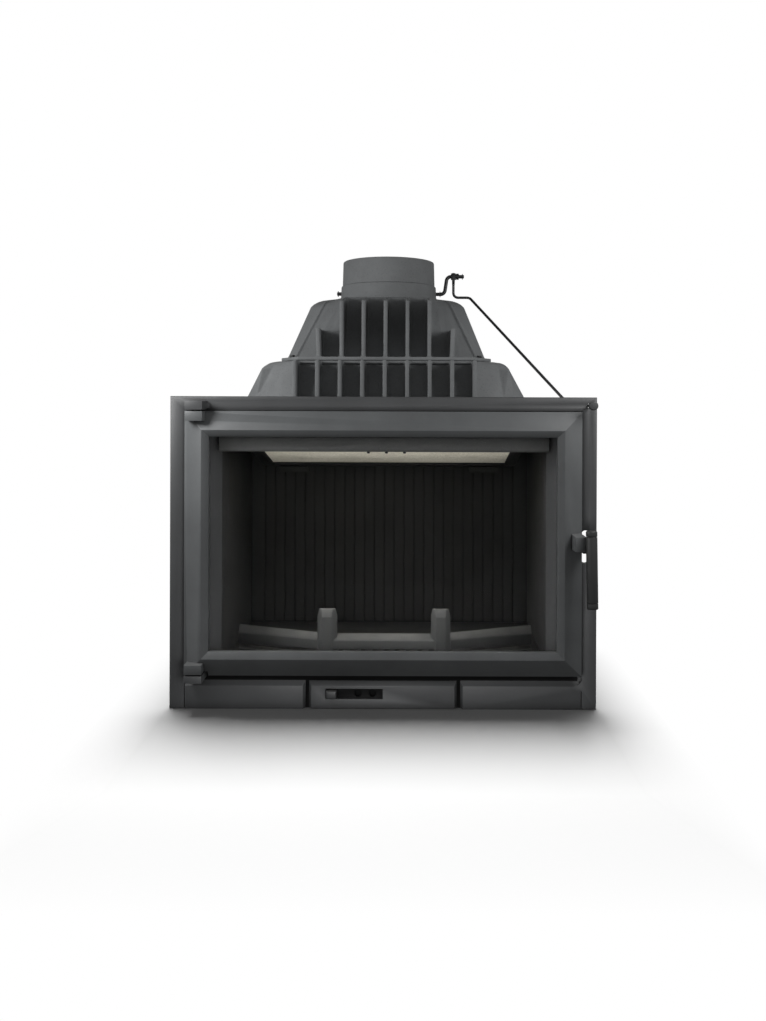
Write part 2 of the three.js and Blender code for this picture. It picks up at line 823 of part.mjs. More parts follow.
function guardBar(top, height, endHeight) {
  const section = (x, y, tall) => [
    [x, y, top - tall],
    [x, y + guardBarDepth, top - tall],
    [x, y + guardBarDepth, top],
    [x, y, top - (guardBarSlope * tall) / guardBarHeight],
  ];
  const inner = postPitch / 2;
  const front = guardFront + 2;
  const middle = loft([section(-inner, front, height), section(inner, front, height)]);
  const arms = [-1, 1].map((side) => loft([
    section(side * inner, front, height),
    section(side * armReach, front + armSetback, endHeight),
  ]));
  return joined([middle, ...arms]);
}

// A post with chamfered front corners and a cap that slopes back.
function guardPost(x) {
  const back = guardFront + postDepth;
  const ring = (cut, set, chamfer, z) => {
    const [left, right] = [x - postWidth / 2 + cut, x + postWidth / 2 - cut];
    const front = guardFront + set;
    return [
      [left, back, z], [left, front + chamfer, z], [left + chamfer, front, z],
      [right - chamfer, front, z], [right, front + chamfer, z], [right, back, z],
    ];
  };
  return loft([
    ring(0, 0, postChamfer, hearthTop + clearance),
    ring(0, 0, postChamfer, postTop - postCap),
    ring(3, 9, postChamfer / 2, postTop),
  ]);
}

function logGuard() {
  const posts = [-postPitch / 2, postPitch / 2].map((x) => guardPost(x));
  const upper = guardBar(guardBarTop, guardBarHeight, guardArmHeight);
  const lower = guardBar(lowerBarTop, lowerBarHeight, lowerBarHeight);
  return joined([upper, lower, ...posts]);
}

function airWashBar() {
  const low = washBarTop - washBarHeight;
  const back = washBarFront + washBarDepth;
  const front = washBarFront;
  const wall = washBarWall;
  const lip = Array.from({ length: 5 }, (_, i) => {
    const turn = (i / 4) * (Math.PI / 2);
    return [front + 6 - 6 * Math.cos(turn), low + 6 - 6 * Math.sin(turn)];
  });
  const outline = [
    [front, washBarTop], ...lip, [back, low], [back, low + wall],
    [front + 8, low + wall], [front + wall, low + 8], [front + wall, washBarTop - wall],
    [back, washBarTop - wall], [back, washBarTop],
  ];
  const bar = extrudeAlong('x', outline, -washBarHalf, washBarHalf);
  const hangers = [-1, 1].map((side) => {
    const x = (side * hangerSpread) / 2;
    return box(
      [x - hangerWidth / 2, x + hangerWidth / 2],
      [front + wall, back],
      [washBarTop - 1, openingHigh - clearance],
    );
  });
  return joined([bar, ...hangers]);
}

// ---------------------------------------------------------------- deflector

function deflectorSlab([x0, x1], [y0, y1], lift, height) {
  return extrudeAlong('x', [
    [y0, deflectorZ(y0) + lift], [y1, deflectorZ(y1) + lift],
    [y1, deflectorZ(y1) + lift + height], [y0, deflectorZ(y0) + lift + height],
  ], x0, x1);
}

function deflectorCarrier() {
  const thick = carrierLedgeThickness;
  const tray = deflectorSlab(
    [-carrierHalf, carrierHalf],
    [deflectorFront, deflectorRear],
    -thick,
    thick + carrierRimHeight,
  );
  const bed = deflectorSlab(
    [-carrierHalf + carrierRim, carrierHalf - carrierRim],
    [deflectorFront + 4, deflectorRear - 4],
    0,
    carrierRimHeight + 10,
  );
  const view = deflectorSlab(
    [-carrierHalf + carrierLedge, carrierHalf - carrierLedge],
    [deflectorFront + carrierBar, deflectorRear - carrierBar],
    -thick - 5,
    carrierRimHeight,
  );
  return tray.subtract(bed).subtract(view);
}

function deflectorBoard() {
  return deflectorSlab(
    [-boardHalf, boardHalf],
    [deflectorFront + 4 + clearance, deflectorRear - 4 - clearance],
    clearance,
    boardThickness,
  );
}

// ---------------------------------------------------------------- hood

const lowerHood = {
  low: deckHeight + clearance,
  high: lowerHoodTop,
  half: lowerHoodHalf,
  slope: lowerHoodSlope,
  round: lowerHoodRound,
  front: lowerRibFront,
  ribCount: lowerRibCount,
  frontHalf: ((lowerRibCount - 1) * ribPitch + ribWidth) / 2,
  pocketDepth: lowerPocketDepth,
  pocketRake: lowerPocketRake,
  pocketBend: 2,
  wideRun: 87, // the widest line, behind the rib fronts
  wideRake: 0.35,
  ridgeSet: 22,
  ridgeRun: 26,
};
const upperHood = {
  low: upperHoodLow,
  high: upperHoodTop,
  half: upperHoodHalf,
  slope: upperHoodSlope,
  round: upperHoodRound,
  front: upperRibFront,
  ribCount: upperRibCount,
  frontHalf: ((upperRibCount - 1) * ribPitch + ribWidth) / 2,
  pocketDepth: upperPocketDepth,
  pocketRake: upperPocketRake,
  pocketBend: 1.25,
  wideRun: 60,
  wideRake: 1.35,
  ridgeSet: 18,
  ridgeRun: 25,
};

// One level of a hood: flat front, a step back beside the last rib, a corner panel up to the ridge,
// the widest point and a rounded rear corner.
function hoodRing({ frontHalf, front, panelY, ridgeX, ridgeY, half, wideY, rear, z }) {
  const right = [[frontHalf, front], [frontHalf, panelY]];
  for (const share of [0.35, 0.7]) {
    right.push([frontHalf + (ridgeX - frontHalf) * share, panelY + (ridgeY - panelY) * share ** 1.3]);
  }
  right.push([ridgeX, ridgeY], [half, wideY]);
  for (let i = 0; i <= 3; i += 1) {
    const turn = (i / 3) * (Math.PI / 2);
    right.push([
      half - hoodRearRadius * (1 - Math.cos(turn)),
      rear - hoodRearRadius * (1 - Math.sin(turn)),
    ]);
  }
  const left = right.map(([x, y]) => [-x, y]).reverse();
  return [...right, ...left].map(([x, y]) => [x, y, z]);
}

// Half width of a hood at each level: sloping side, then a round into the deck.
function hoodLevels(hood) {
  const slope = THREE.MathUtils.degToRad(hood.slope);
  const start = hood.high - hood.round * (1 - Math.sin(slope));
  const halfAtStart = hood.half - (start - hood.low) * Math.tan(slope);
  const centre = halfAtStart - hood.round * Math.cos(slope);
  const levels = [[hood.low, hood.half], [start, halfAtStart]];
  for (let i = 1; i <= 5; i += 1) {
    const turn = slope + (i / 5) * (Math.PI / 2 - slope);
    levels.push([hood.high - hood.round * (1 - Math.sin(turn)), centre + hood.round * Math.cos(turn)]);
  }
  return levels;
}

// Where the raked wall between the ribs lies at a height.
function pocketFloor(hood, z) {
  const climb = (z - hood.low + 1) / (hood.high - hood.low + 2);
  return hood.front + hood.pocketDepth + hood.pocketRake * climb ** hood.pocketBend;
}

// The outside of a hood, or with an inset the smoke space: open at the foot and closed by the deck.
function hoodSkin(hood, inset) {
  return loft(hoodLevels(hood).map(([z, half], i) => {
    const wideY = hood.front + hood.wideRun + (hood.half - half) * hood.wideRake;
    let level = z;
    if (inset > 0) {
      level = i === 0 ? z - 1 : z - hoodDeck;
    }
    return hoodRing({
      frontHalf: hood.frontHalf - inset,
      front: hood.front + inset,
      panelY: pocketFloor(hood, z) + 1.3 * inset,
      ridgeX: half - hood.ridgeSet - inset,
      ridgeY: wideY - hood.ridgeRun + inset,
      half: half - inset,
      wideY: wideY + inset,
      rear: hoodRear - inset,
      z: level,
    });
  }));
}

// The raked wall as (y, z) points, moved back by a wall thickness or not at all.
function rakedWall(hood, setback) {
  const height = hood.high - hood.low + 2;
  return Array.from({ length: 7 }, (_, i) => {
    const z = hood.low - 1 + (height * i) / 6;
    return [pocketFloor(hood, z) + setback, z];
  });
}

function beforeRakedWall(hood, setback, x0, x1) {
  const open = hood.front - 20;
  const outline = [...rakedWall(hood, setback), [open, hood.high + 1], [open, hood.low - 1]];
  return extrudeAlong('x', outline, x0, x1);
}

function ribPockets(hood) {
  const half = (ribPitch - ribWidth) / 2;
  return joined(spread(hood.ribCount - 1, ribPitch).map((x) => beforeRakedWall(hood, 0, x - half, x + half)));
}

// The smoke space, kept behind the raked wall.
function smokeSpace(hood) {
  const reach = hood.frontHalf + 1;
  return hoodSkin(hood, hoodWall).subtract(beforeRakedWall(hood, hoodWall, -reach, reach));
}

function hoodBoltPlaces() {
  const frontX = hoodFlangeHalf - frontBoltInset;
  const frontY = upperHood.front + upperHood.wideRun - frontBoltRun;
  const rearX = hoodFlangeHalf - rearBoltInset;
  const rearY = hoodRear - rearBoltSetback;
  return [[-frontX, frontY], [frontX, frontY], [-rearX, rearY], [rearX, rearY]];
}

function hoodBoltHoles(low, high) {
  return joined(hoodBoltPlaces().map((place) => {
    return cylinderAlong('z', place, hoodBoltRadius + clearance, low, high, 12);
  }));
}

// The plate on which the two storeys meet; each storey carries one.
function hoodFlange(low, high) {
  const wideY = upperHood.front + upperHood.wideRun;
  const front = upperHood.front - hoodFlangeProud;
  const ring = (z) => hoodRing({
    frontHalf: hoodFlangeHalf - hoodFlangeReach - hoodFlangeFrontInset,
    front,
    panelY: front + hoodFlangeCorner,
    ridgeX: hoodFlangeHalf - hoodFlangeRidgeSet,
    ridgeY: wideY - hoodFlangeRidgeRun,
    half: hoodFlangeHalf,
    wideY,
    rear: hoodRear,
    z,
  });
  return loft([ring(low), ring(high)]);
}

function lowerHoodCasting() {
  const throatHalf = upperHoodHalf - throatSideLap;
  const throat = box(
    [-throatHalf, throatHalf],
    [upperHood.front + throatFrontLap, hoodRear - throatRearLap],
    [lowerHood.high - hoodDeck - 1, lowerHood.high + 1],
  );
  return hoodSkin(lowerHood, 0)
    .subtract(ribPockets(lowerHood))
    .add(hoodFlange(lowerHood.high - lowerFlangeThickness, lowerHood.high))
    .subtract(smokeSpace(lowerHood))
    .subtract(throat)
    .subtract(hoodBoltHoles(lowerHood.high - 5, lowerHood.high + 1));
}

// Two short ribs beside the full ones.
function shortRibs() {
  const top = upperHood.low + hoodFlangeThickness + shortRibHeight;
  const shortRibX = ((upperRibCount + 1) * ribPitch) / 2;
  return joined([-shortRibX, shortRibX].map((x) => box(
    [x - ribWidth / 2, x + ribWidth / 2],
    [upperHood.front, upperHood.front + shortRibDepth],
    [upperHood.low, top],
  )));
}

function upperHoodCasting() {
  const deckFall = Math.tan(THREE.MathUtils.degToRad(upperDeckSlope));
  const deckStart = flueY - ringBaseRadius - 4;
  const deckFront = upperHood.front - 10;
  const overDeck = extrudeAlong('x', [
    [deckFront, upperHood.high - (deckStart - deckFront) * deckFall],
    [deckStart, upperHood.high],
    [deckStart, upperHood.high + 5],
    [deckFront, upperHood.high + 5],
  ], -upperHoodHalf, upperHoodHalf);
  const flueHole = cylinderAlong(
    'z', [0, flueY], flueBore, upperHood.high - 2 * hoodDeck, upperHood.high + 1, flueSides,
  );
  return hoodSkin(upperHood, 0)
    .subtract(ribPockets(upperHood))
    .add(shortRibs())
    .add(hoodFlange(upperHood.low, upperHood.low + hoodFlangeThickness))
    .subtract(overDeck)
    .subtract(smokeSpace(upperHood))
    .subtract(flueHole)
    .subtract(hoodBoltHoles(upperHood.low - 1, upperHood.low + hoodFlangeThickness + 1));
}

function hoodBolt(place) {
  const seat = upperHood.low + hoodFlangeThickness + clearance;
  const head = extrudeAlong('z', circleOutline(place, hoodBoltHead, 6), seat, seat + hoodBoltHeadHeight);
  const shank = cylinderAlong('z', place, hoodBoltRadius, seat - hoodBoltDepth, seat + 1, 12);
  return joined([head, shank]);
}

// ---------------------------------------------------------------- flue collar

function collarRing() {
  const high = ringLow + ringHeight;
  const rebate = flueBore + spigotSkirtWall + clearance;
  const ring = revolve([
    [flueBore, ringLow], [ringBaseRadius, ringLow], [ringBaseRadius, ringLow + ringFoot],
    [ringTopRadius + 0.8, ringLow + ringFlare], [ringTopRadius, high - 1], [ringTopRadius - 1, high],
    [rebate, high], [rebate, high - spigotSkirt], [flueBore, high - spigotSkirt],
  ], flueSides);
  const reach = ringBaseRadius + 2;
  const axleHole = cylinderAlong('x', [flueY, axleZ], axleRadius + clearance, -reach, reach);
  return ring.subtract(axleHole);
}

function flueSpigot() {
  const low = ringLow + ringHeight + clearance;
  const high = low + spigotHeight;
  const skirt = flueBore + spigotSkirtWall;
  return revolve([
    [flueBore, low - spigotSkirt], [skirt, low - spigotSkirt], [skirt, low],
    [spigotRadius + spigotTaper, low], [spigotRadius + spigotTaper, low + 1],
    [spigotRadius, high - edgeChamfer], [spigotRadius - edgeChamfer, high],
    [flueBore + 1, high], [flueBore, high - 1],
  ], flueSides);
}

// ---------------------------------------------------------------- damper and control rod

function damperAxle() {
  return bentBar([
    [-axleStub, flueY, axleZ],
    [crankX - 6, flueY, axleZ],
    [crankX + 2, flueY, crankZ],
    [crankEnd, flueY, crankZ],
  ], 8, axleRadius, 10, 3.5);
}

function damperPlate() {
  const disc = cylinderAlong('z', [0, 0], damperRadius, -damperThickness / 2, damperThickness / 2, 40)
    .rotate([damperTilt, 0, 0])
    .translate([0, flueY, axleZ]);
  const hub = cylinderAlong('x', [flueY, axleZ], damperHubRadius, -damperHubHalf, damperHubHalf);
  const reach = damperRadius + 1;
  const bore = cylinderAlong('x', [flueY, axleZ], axleRadius + clearance, -reach, reach);
  return disc.add(hub).subtract(bore);
}

function crankWasher(from) {
  const to = from + washerThickness;
  const disc = cylinderAlong('x', [flueY, crankZ], washerRadius, from, to);
  return disc.subtract(cylinderAlong('x', [flueY, crankZ], axleRadius + clearance, from - 1, to + 1));
}

function crankNut() {
  const from = eyeRight + washerThickness + 3 * clearance;
  const nut = extrudeAlong('x', circleOutline([flueY, crankZ], axleRadius + 3, 6), from, from + 5);
  return nut.subtract(cylinderAlong('x', [flueY, crankZ], axleRadius + clearance, from - 1, from + 6));
}

function controlRod() {
  const slotCentreZ = crankZ + axleRadius + 0.4 - eyeSlotHeight / 2;
  const eyeHeight = eyeSlotHeight + 2 * eyeRim;
  const eye = extrudeAlong(
    'x',
    slotOutline([flueY, slotCentreZ], eyeWidth, eyeHeight),
    eyeLeft,
    eyeRight,
  );
  const slot = extrudeAlong(
    'x',
    slotOutline([flueY, slotCentreZ], eyeSlotWidth, eyeSlotHeight),
    eyeX - eyeThickness,
    eyeX + eyeThickness,
  );
  const bar = bentBar([
    [eyeX, flueY, slotCentreZ - eyeHeight / 2 + 1],
    [eyeX, flueY, crankZ - rodDrop],
    [rodKneeX, flueY, crankZ - rodDrop],
    [rodElbowX, rodElbowY, knobZ],
    [knobX, rodElbowY, knobZ],
    [knobX, -knobProud + 5, knobZ],
  ], 7, rodRadius, 8, 5.5);
  return eye.add(bar).subtract(slot);
}

function rodKnob() {
  const centre = [knobX, knobZ];
  const back = -knobProud + knobLength;
  const ring = (radius, y) => circleOutline(centre, radius, 20).map(([x, z]) => [x, y, z]);
  const body = loft([
    ring(knobRadius - 1.2, -knobProud), ring(knobRadius, -knobProud + 1.2),
    ring(knobRadius, back - 4), ring(knobRadius - 2.5, back),
  ]);
  return body.subtract(cylinderAlong('y', centre, rodRadius + clearance, -knobProud + 4.5, back + 1));
}

// ---------------------------------------------------------------- door

function doorFrame() {
  const profile = [
    [0, -doorEdgeProud + doorEdgeThickness],
    [0, -doorEdgeProud],
    [doorBand, -doorRidgeProud],
    [lipInset, -doorLipProud],
    [lipInset, lipBack],
    [rebateInset, lipBack],
    [rebateInset, rimBack],
    [channelInset + channelWidth, rimBack],
    [channelInset + channelWidth, -channelDepth],
    [channelInset, -channelDepth],
    [channelInset, 0],
    [channelInset - channelWall, 0],
    [channelInset - channelWall, -doorEdgeProud + doorEdgeThickness],
  ];
  const surround = mitredFrame(profile, doorOutline);
  const knuckleBack = -doorEdgeProud - 2;
  const knuckleSpans = [
    [topKnuckleHigh - knuckleHeight, topKnuckleHigh],
    [bottomKnuckleLow, bottomKnuckleLow + knuckleHeight],
  ];
  const knuckles = knuckleSpans.map((span) => box([lugLeft, lugRight], [-lugProud, knuckleBack], span));
  const notch = box(
    [-doorHalf - 1, -doorHalf + cornerNotchWidth],
    [-lugProud, recessDepth],
    [doorBottom - 1, bottomKnuckleLow],
  );
  const pinHoles = joined([
    [topKnuckleHigh - knuckleHeight + 0.5, topKnuckleHigh + 1],
    [bottomKnuckleLow - 1, bottomKnuckleLow + knuckleHeight - 0.5],
  ].map(([low, high]) => cylinderAlong('z', [pinX, -pinProud], pinRadius + clearance, low, high)));
  const bossLow = pivotHeight - bossHeight / 2;
  const bossRing = (spread, y) => {
    const left = bossRight - bossWidth - spread;
    const [low, high] = [bossLow - spread, bossLow + bossHeight + spread];
    return [[left, y, low], [bossRight, y, low], [bossRight, y, high], [left, y, high]];
  };
  const boss = loft([bossRing(bossDraft, -doorEdgeProud - 2), bossRing(0, -bossProud)]);
  const pivotHole = cylinderAlong(
    'x', [-pivotProud, pivotHeight], pivotRadius + clearance, bossRight - pivotBoltReach - 1, bossRight + 1,
  );
  const screwHoles = joined(clipPlaces().map(([x, z]) => {
    return cylinderAlong('y', [x, z], screwRadius + clearance, rimBack - screwDepth - 1, rimBack + 1, 10);
  }));
  return surround
    .subtract(notch)
    .add(joined(knuckles))
    .subtract(pinHoles)
    .add(boss)
    .subtract(pivotHole)
    .subtract(screwHoles);
}

function clipPlaces() {
  const inset = (rebateInset + channelInset + channelWidth) / 2;
  return [
    [-clipSpacing / 2, doorTop - inset], [clipSpacing / 2, doorTop - inset],
    [-clipSpacing / 2, doorBottom + inset], [clipSpacing / 2, doorBottom + inset],
  ];
}

function doorGlass() {
  const inset = rebateInset + clearance;
  return box(
    [-doorHalf + inset, doorHalf - inset],
    [glassFront, glassBack],
    [doorBottom + inset, doorTop - inset],
  );
}

function glassGasket() {
  const outer = rebateInset + clearance;
  const inner = lipInset - clearance;
  const front = lipBack + clearance;
  return mitredFrame([
    [outer, front], [inner, front], [inner, front + gasketThickness], [outer, front + gasketThickness],
  ], doorOutline);
}

function ropeSeal() {
  const half = channelWidth / 2 - clearance;
  const front = -channelDepth + clearance;
  const back = recessDepth - seatHeight - clearance;
  const soft = 2;
  return mitredFrame([
    [ropeInset - half, front], [ropeInset + half, front], [ropeInset + half, back - soft],
    [ropeInset + half - soft, back], [ropeInset - half + soft, back], [ropeInset - half, back - soft],
  ], doorOutline);
}

function glassClip([x, z]) {
  const up = z > (doorTop + doorBottom) / 2 ? -1 : 1;
  const outer = z - up * 2.4;
  const inner = outer + up * clipLength;
  const front = rimBack + clearance;
  const back = front + clipThickness;
  const plate = box(
    [x - clipWidth / 2, x + clipWidth / 2],
    [front, back],
    [Math.min(outer, inner), Math.max(outer, inner)],
  );
  return plate.subtract(cylinderAlong('y', [x, z], screwRadius + clearance, front - 1, back + 1, 10));
}

function clipScrew([x, z]) {
  const seat = rimBack + clearance + clipThickness + clearance;
  const head = cylinderAlong('y', [x, z], screwHeadRadius, seat, seat + screwHeadHeight, 12);
  const shank = cylinderAlong('y', [x, z], screwRadius, rimBack - screwDepth, seat + 1, 10);
  return joined([head, shank]);
}

function hingePinTop() {
  const low = topKnuckleHigh - knuckleHeight + 1;
  return cylinderAlong('z', [pinX, -pinProud], pinRadius, low, topLugLow + topLugHeight);
}

function hingePinBottom() {
  const headHigh = bottomLugTop - bottomLugHeight - clearance;
  const headLow = headHigh - pinHeadHeight;
  const high = bottomKnuckleLow + knuckleHeight - 1;
  const shank = cylinderAlong('z', [pinX, -pinProud], pinRadius, headHigh - 1, high);
  const head = cylinderAlong('z', [pinX, -pinProud], pinHeadRadius, headLow, headHigh);
  return joined([shank, head]);
}

function hingeWasher() {
  const low = bottomLugTop + clearance;
  const high = bottomKnuckleLow - clearance;
  const disc = cylinderAlong('z', [pinX, -pinProud], pinRadius + 4, low, high);
  return disc.subtract(cylinderAlong('z', [pinX, -pinProud], pinRadius + clearance, low - 1, high + 1));
}

// ---------------------------------------------------------------- door handle

const gripX = leverX + leverThickness / 2 + 1.2;
const gripTop = pivotHeight + gripAbovePivot;
const gripFoot = gripTop - gripLength;

// Pieces of the grip are turned about an upright axis, then leaned so that the foot stands forward.
function leaned(solid) {
  return solid
    .translate([0, gripProud, -pivotHeight])
    .rotate([-gripLean, 0, 0])
    .translate([0, -gripProud, pivotHeight]);
}

function gripTurned(profile) {
  return loft(profile.map(([radius, z]) => {
    return circleOutline([gripX, -gripProud], radius, 20).map(([x, y]) => [x, y, z]);
  }));
}

function gripSleeve() {
  const low = gripFoot + gripCapHeight + gripGroove;
  const high = gripTop - gripCapHeight - gripGroove;
  const body = gripTurned([
    [gripRadius - 0.5, low], [gripRadius, low + 0.5], [gripRadius, high - 0.5], [gripRadius - 0.5, high],
  ]);
  const bore = cylinderAlong('z', [gripX, -gripProud], gripCoreRadius + clearance, low - 1, high + 1);
  const leverGate = box(
    [leverX - clearance, leverX + leverThickness + clearance],
    [-gripProud, -gripProud + gripRadius + 2],
    [pivotHeight - hubRadius - 1, high + 1],
  );
  return leaned(body.subtract(bore).subtract(leverGate));
}

function gripCap(low, roundTop) {
  const high = low + gripCapHeight;
  const profile = roundTop
    ? [[gripRadius - 0.5, low], [gripRadius, low + 0.5], [gripRadius, high - 1.5], [gripRadius - 1.5, high]]
    : [[gripRadius - 1.5, low], [gripRadius, low + 1.5], [gripRadius, high - 0.5], [gripRadius - 0.5, high]];
  const bore = cylinderAlong('z', [gripX, -gripProud], gripCoreRadius + clearance, low - 1, high + 1);
  const plug = roundTop ? [low - 1, high - 2] : [low + 2, high + 1];
  const blind = bore.intersect(box([gripX - 20, gripX + 20], [-gripProud - 20, -gripProud + 20], plug));
  return leaned(gripTurned(profile).subtract(blind));
}

function handleLever() {
  const y = -pivotProud;
  const z = pivotHeight;
  const nose = y + tongueLength;
  const outline = [
    [-gripProud, z + 8],
    [y - 2, z + hubRadius],
    [y + 18, z + hubRadius - 3],
    [recessDepth - 7, z + 6],
    [nose - 4, z + 6],
    [nose, z + 2],
    [nose, z - 1],
    [y + 52, z - 9],
    [y + 44, z - 21],
    [y + 30, z - 21],
    [y + 14, z - 12],
    [y - 2, z - hubRadius],
    [-gripProud, z - 8],
  ];
  const plate = extrudeAlong('x', outline, leverX, leverX + leverThickness);
  const bore = cylinderAlong('x', [y, z], pivotRadius + clearance, leverX - 1, leverX + leverThickness + 1);
  const core = leaned(cylinderAlong(
    'z', [gripX, -gripProud], gripCoreRadius, gripFoot + 3, gripTop - 3,
  ));
  return plate.add(core).subtract(bore);
}

function pivotBolt() {
  const shankEnd = leverX + leverThickness + clearance;
  const centre = [-pivotProud, pivotHeight];
  const shank = cylinderAlong('x', centre, pivotRadius, bossRight - pivotBoltReach, shankEnd + 1);
  const collar = cylinderAlong('x', centre, pivotRadius + 3, bossRight + clearance, leverX - clearance);
  const head = cylinderAlong('x', centre, pivotRadius + 2.5, shankEnd, shankEnd + 3);
  return joined([shank, collar, head]);
}

// ---------------------------------------------------------------- ash drawer and air slider

const sliderFront = drawerPlate + clearance;
const slotCentreZ = slotBottom + slotHeight / 2;
const railGap = sliderHeight / 2 + clearance;

function drawerFront() {
  const half = drawerWidth / 2;
  const plate = loft([
    rectangleRing(half - padChamfer / 2, drawerFloorGap, padTop - padChamfer, 0),
    rectangleRing(half, drawerFloorGap, padTop, drawerPlate - 0.6),
    rectangleRing(half, drawerFloorGap, padTop, drawerPlate),
  ]);
  const slot = box([-slotLength, 0], [-1, drawerPlate + 1], [slotBottom, slotBottom + slotHeight]);
  const railHalf = windowWidth / 2 - 1.5;
  const rails = [-1, 1].map((side) => {
    const near = slotCentreZ + side * railGap;
    const far = near + side * 2;
    const lip = near - side * 1.5;
    const back = sliderFront + railDepth;
    const stem = box(
      [-railHalf, railHalf],
      [drawerPlate - 1, back],
      [Math.min(near, far), Math.max(near, far)],
    );
    const keep = box(
      [-railHalf, railHalf],
      [sliderFront + sliderThickness + clearance, back],
      [Math.min(lip, far), Math.max(lip, far)],
    );
    return stem.add(keep);
  });
  const ears = [-1, 1].map((side) => {
    const x = side * (panWidth / 2 - 2);
    return box(
      [x - 3, x + 3],
      [drawerPlate - 1, flangeDepth + 1 - clearance],
      [panFloor + 2, panFloor + panHeight - 3],
    );
  });
  return joined([plate.subtract(slot), ...rails, ...ears]);
}

function ashPan() {
  const half = panWidth / 2;
  const front = flangeDepth + 1;
  const tray = box([-half, half], [front, front + panLength], [panFloor, panFloor + panHeight]);
  const hollow = box(
    [-half + panWall, half - panWall],
    [front + panWall, front + panLength - panWall],
    [panFloor + panWall, panFloor + panHeight + 1],
  );
  return tray.subtract(hollow);
}

function airSliderPlate() {
  const left = -slotLength - 8;
  const plate = box(
    [left, left + sliderLength],
    [sliderFront, sliderFront + sliderThickness],
    [slotCentreZ - sliderHeight / 2, slotCentreZ + sliderHeight / 2],
  );
  const holes = spread(airHoleCount, 2 * airHoleWidth).map((x) => extrudeAlong(
    'y', slotOutline([x - slotLength / 2 + 30, slotCentreZ], airHoleWidth, sliderHeight - 8, 3),
    sliderFront - 1, sliderFront + sliderThickness + 1,
  ));
  return plate.subtract(joined(holes));
}

function airSliderKnob() {
  const left = -slotLength + 1;
  const centreZ = slotBottom + slotHeight / 2 - 0.1;
  const half = sliderKnobHeight / 2;
  const face = (cut, y) => [
    [left + cut, y, centreZ - half + cut], [left + sliderKnobWidth - cut, y, centreZ - half + cut],
    [left + sliderKnobWidth - cut, y, centreZ + half - cut], [left + cut, y, centreZ + half - cut],
  ];
  return loft([face(1.5, -sliderKnobProud), face(0, -sliderKnobProud + 1.5), face(0, drawerPlate)]);
}

// ---------------------------------------------------------------- the whole insert

addPiece('front_frame', frontFrame(), paintedIron);
addPiece('base_plate', basePlate(), paintedIron);
addPiece('side_wall_left', sideWall(-1), paintedIron);
addPiece('side_wall_right', sideWall(1), paintedIron);
addPiece('rear_wall', rearWall(), paintedIron);
addPiece('top_plate', topPlate(), paintedIron);
addPiece('hearth_plate', hearthPlate(), innerIron);
addPiece('grate', grate(), innerIron);
addPiece('side_liner_left', sideLiner(-1), innerIron);
addPiece('side_liner_right', sideLiner(1), innerIron);
addPiece('back_liner', backLiner(), innerIron);
addPiece('log_guard', logGuard(), innerIron);
addPiece('air_wash_bar', airWashBar(), innerIron);
addPiece('deflector_carrier', deflectorCarrier(), innerIron);
addPiece('deflector_board', deflectorBoard(), vermiculite);
addPiece('lower_hood', lowerHoodCasting(), hoodIron);
addPiece('upper_hood', upperHoodCasting(), hoodIron);
hoodBoltPlaces().forEach((place, i) => addPiece(`hood_bolt_${i + 1}`, hoodBolt(place), blackSteel));
addPiece('collar_ring', collarRing(), hoodIron);
addPiece('flue_spigot', flueSpigot(), hoodIron);

addPiece('damper_axle', damperAxle(), blackSteel);
addPiece('damper_plate', damperPlate(), innerIron);
addPiece('crank_washer_inner', crankWasher(eyeLeft - clearance - washerThickness), blackSteel);
addPiece('crank_washer_outer', crankWasher(eyeRight + clearance), blackSteel);
addPiece('crank_nut', crankNut(), blackSteel);
addPiece('control_rod', controlRod(), blackSteel);
addPiece('rod_knob', rodKnob(), paintedIron);

addPiece('door_frame', doorFrame(), paintedIron);
addPiece('door_glass', doorGlass(), ceramicGlass);
addPiece('glass_gasket', glassGasket(), rope);
addPiece('rope_seal', ropeSeal(), rope);
clipPlaces().forEach((place, i) => {
  addPiece(`glass_clip_${i + 1}`, glassClip(place), sheetSteel);
  addPiece(`clip_screw_${i + 1}`, clipScrew(place), sheetSteel);
});
addPiece('hinge_pin_top', hingePinTop(), blackSteel);
addPiece('hinge_pin_bottom', hingePinBottom(), blackSteel);
addPiece('hinge_washer', hingeWasher(), sheetSteel);

addPiece('handle_lever', handleLever(), blackSteel);
addPiece('grip_sleeve', gripSleeve(), paintedIron);
addPiece('grip_cap_top', gripCap(gripTop - gripCapHeight, true), paintedIron);
addPiece('grip_cap_bottom', gripCap(gripFoot, false), paintedIron);
addPiece('pivot_bolt', pivotBolt(), blackSteel);

addPiece('drawer_front', drawerFront(), paintedIron);
addPiece('ash_pan', ashPan(), sheetSteel);
addPiece('air_slider_plate', airSliderPlate(), sheetSteel);
addPiece('air_slider_knob', airSliderKnob(), blackSteel);

export default assembly;
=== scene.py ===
# %% [markdown]
# # A cast-iron fireplace insert
# The insert is a stack of sand castings, painted with a matt heat-proof paint: a front frame with a
# glazed door, a ribbed hood in two storeys and a round flue collar with a damper rod. The packed
# construction gives every piece at its real size. This file gives each piece its surface: the soft
# edges that molten iron leaves, the grain of the sand, the satin paint, the sooty fire chamber.

# %% Load the construction
import json
import math

import bmesh
import bpy
from mathutils import Matrix, Vector


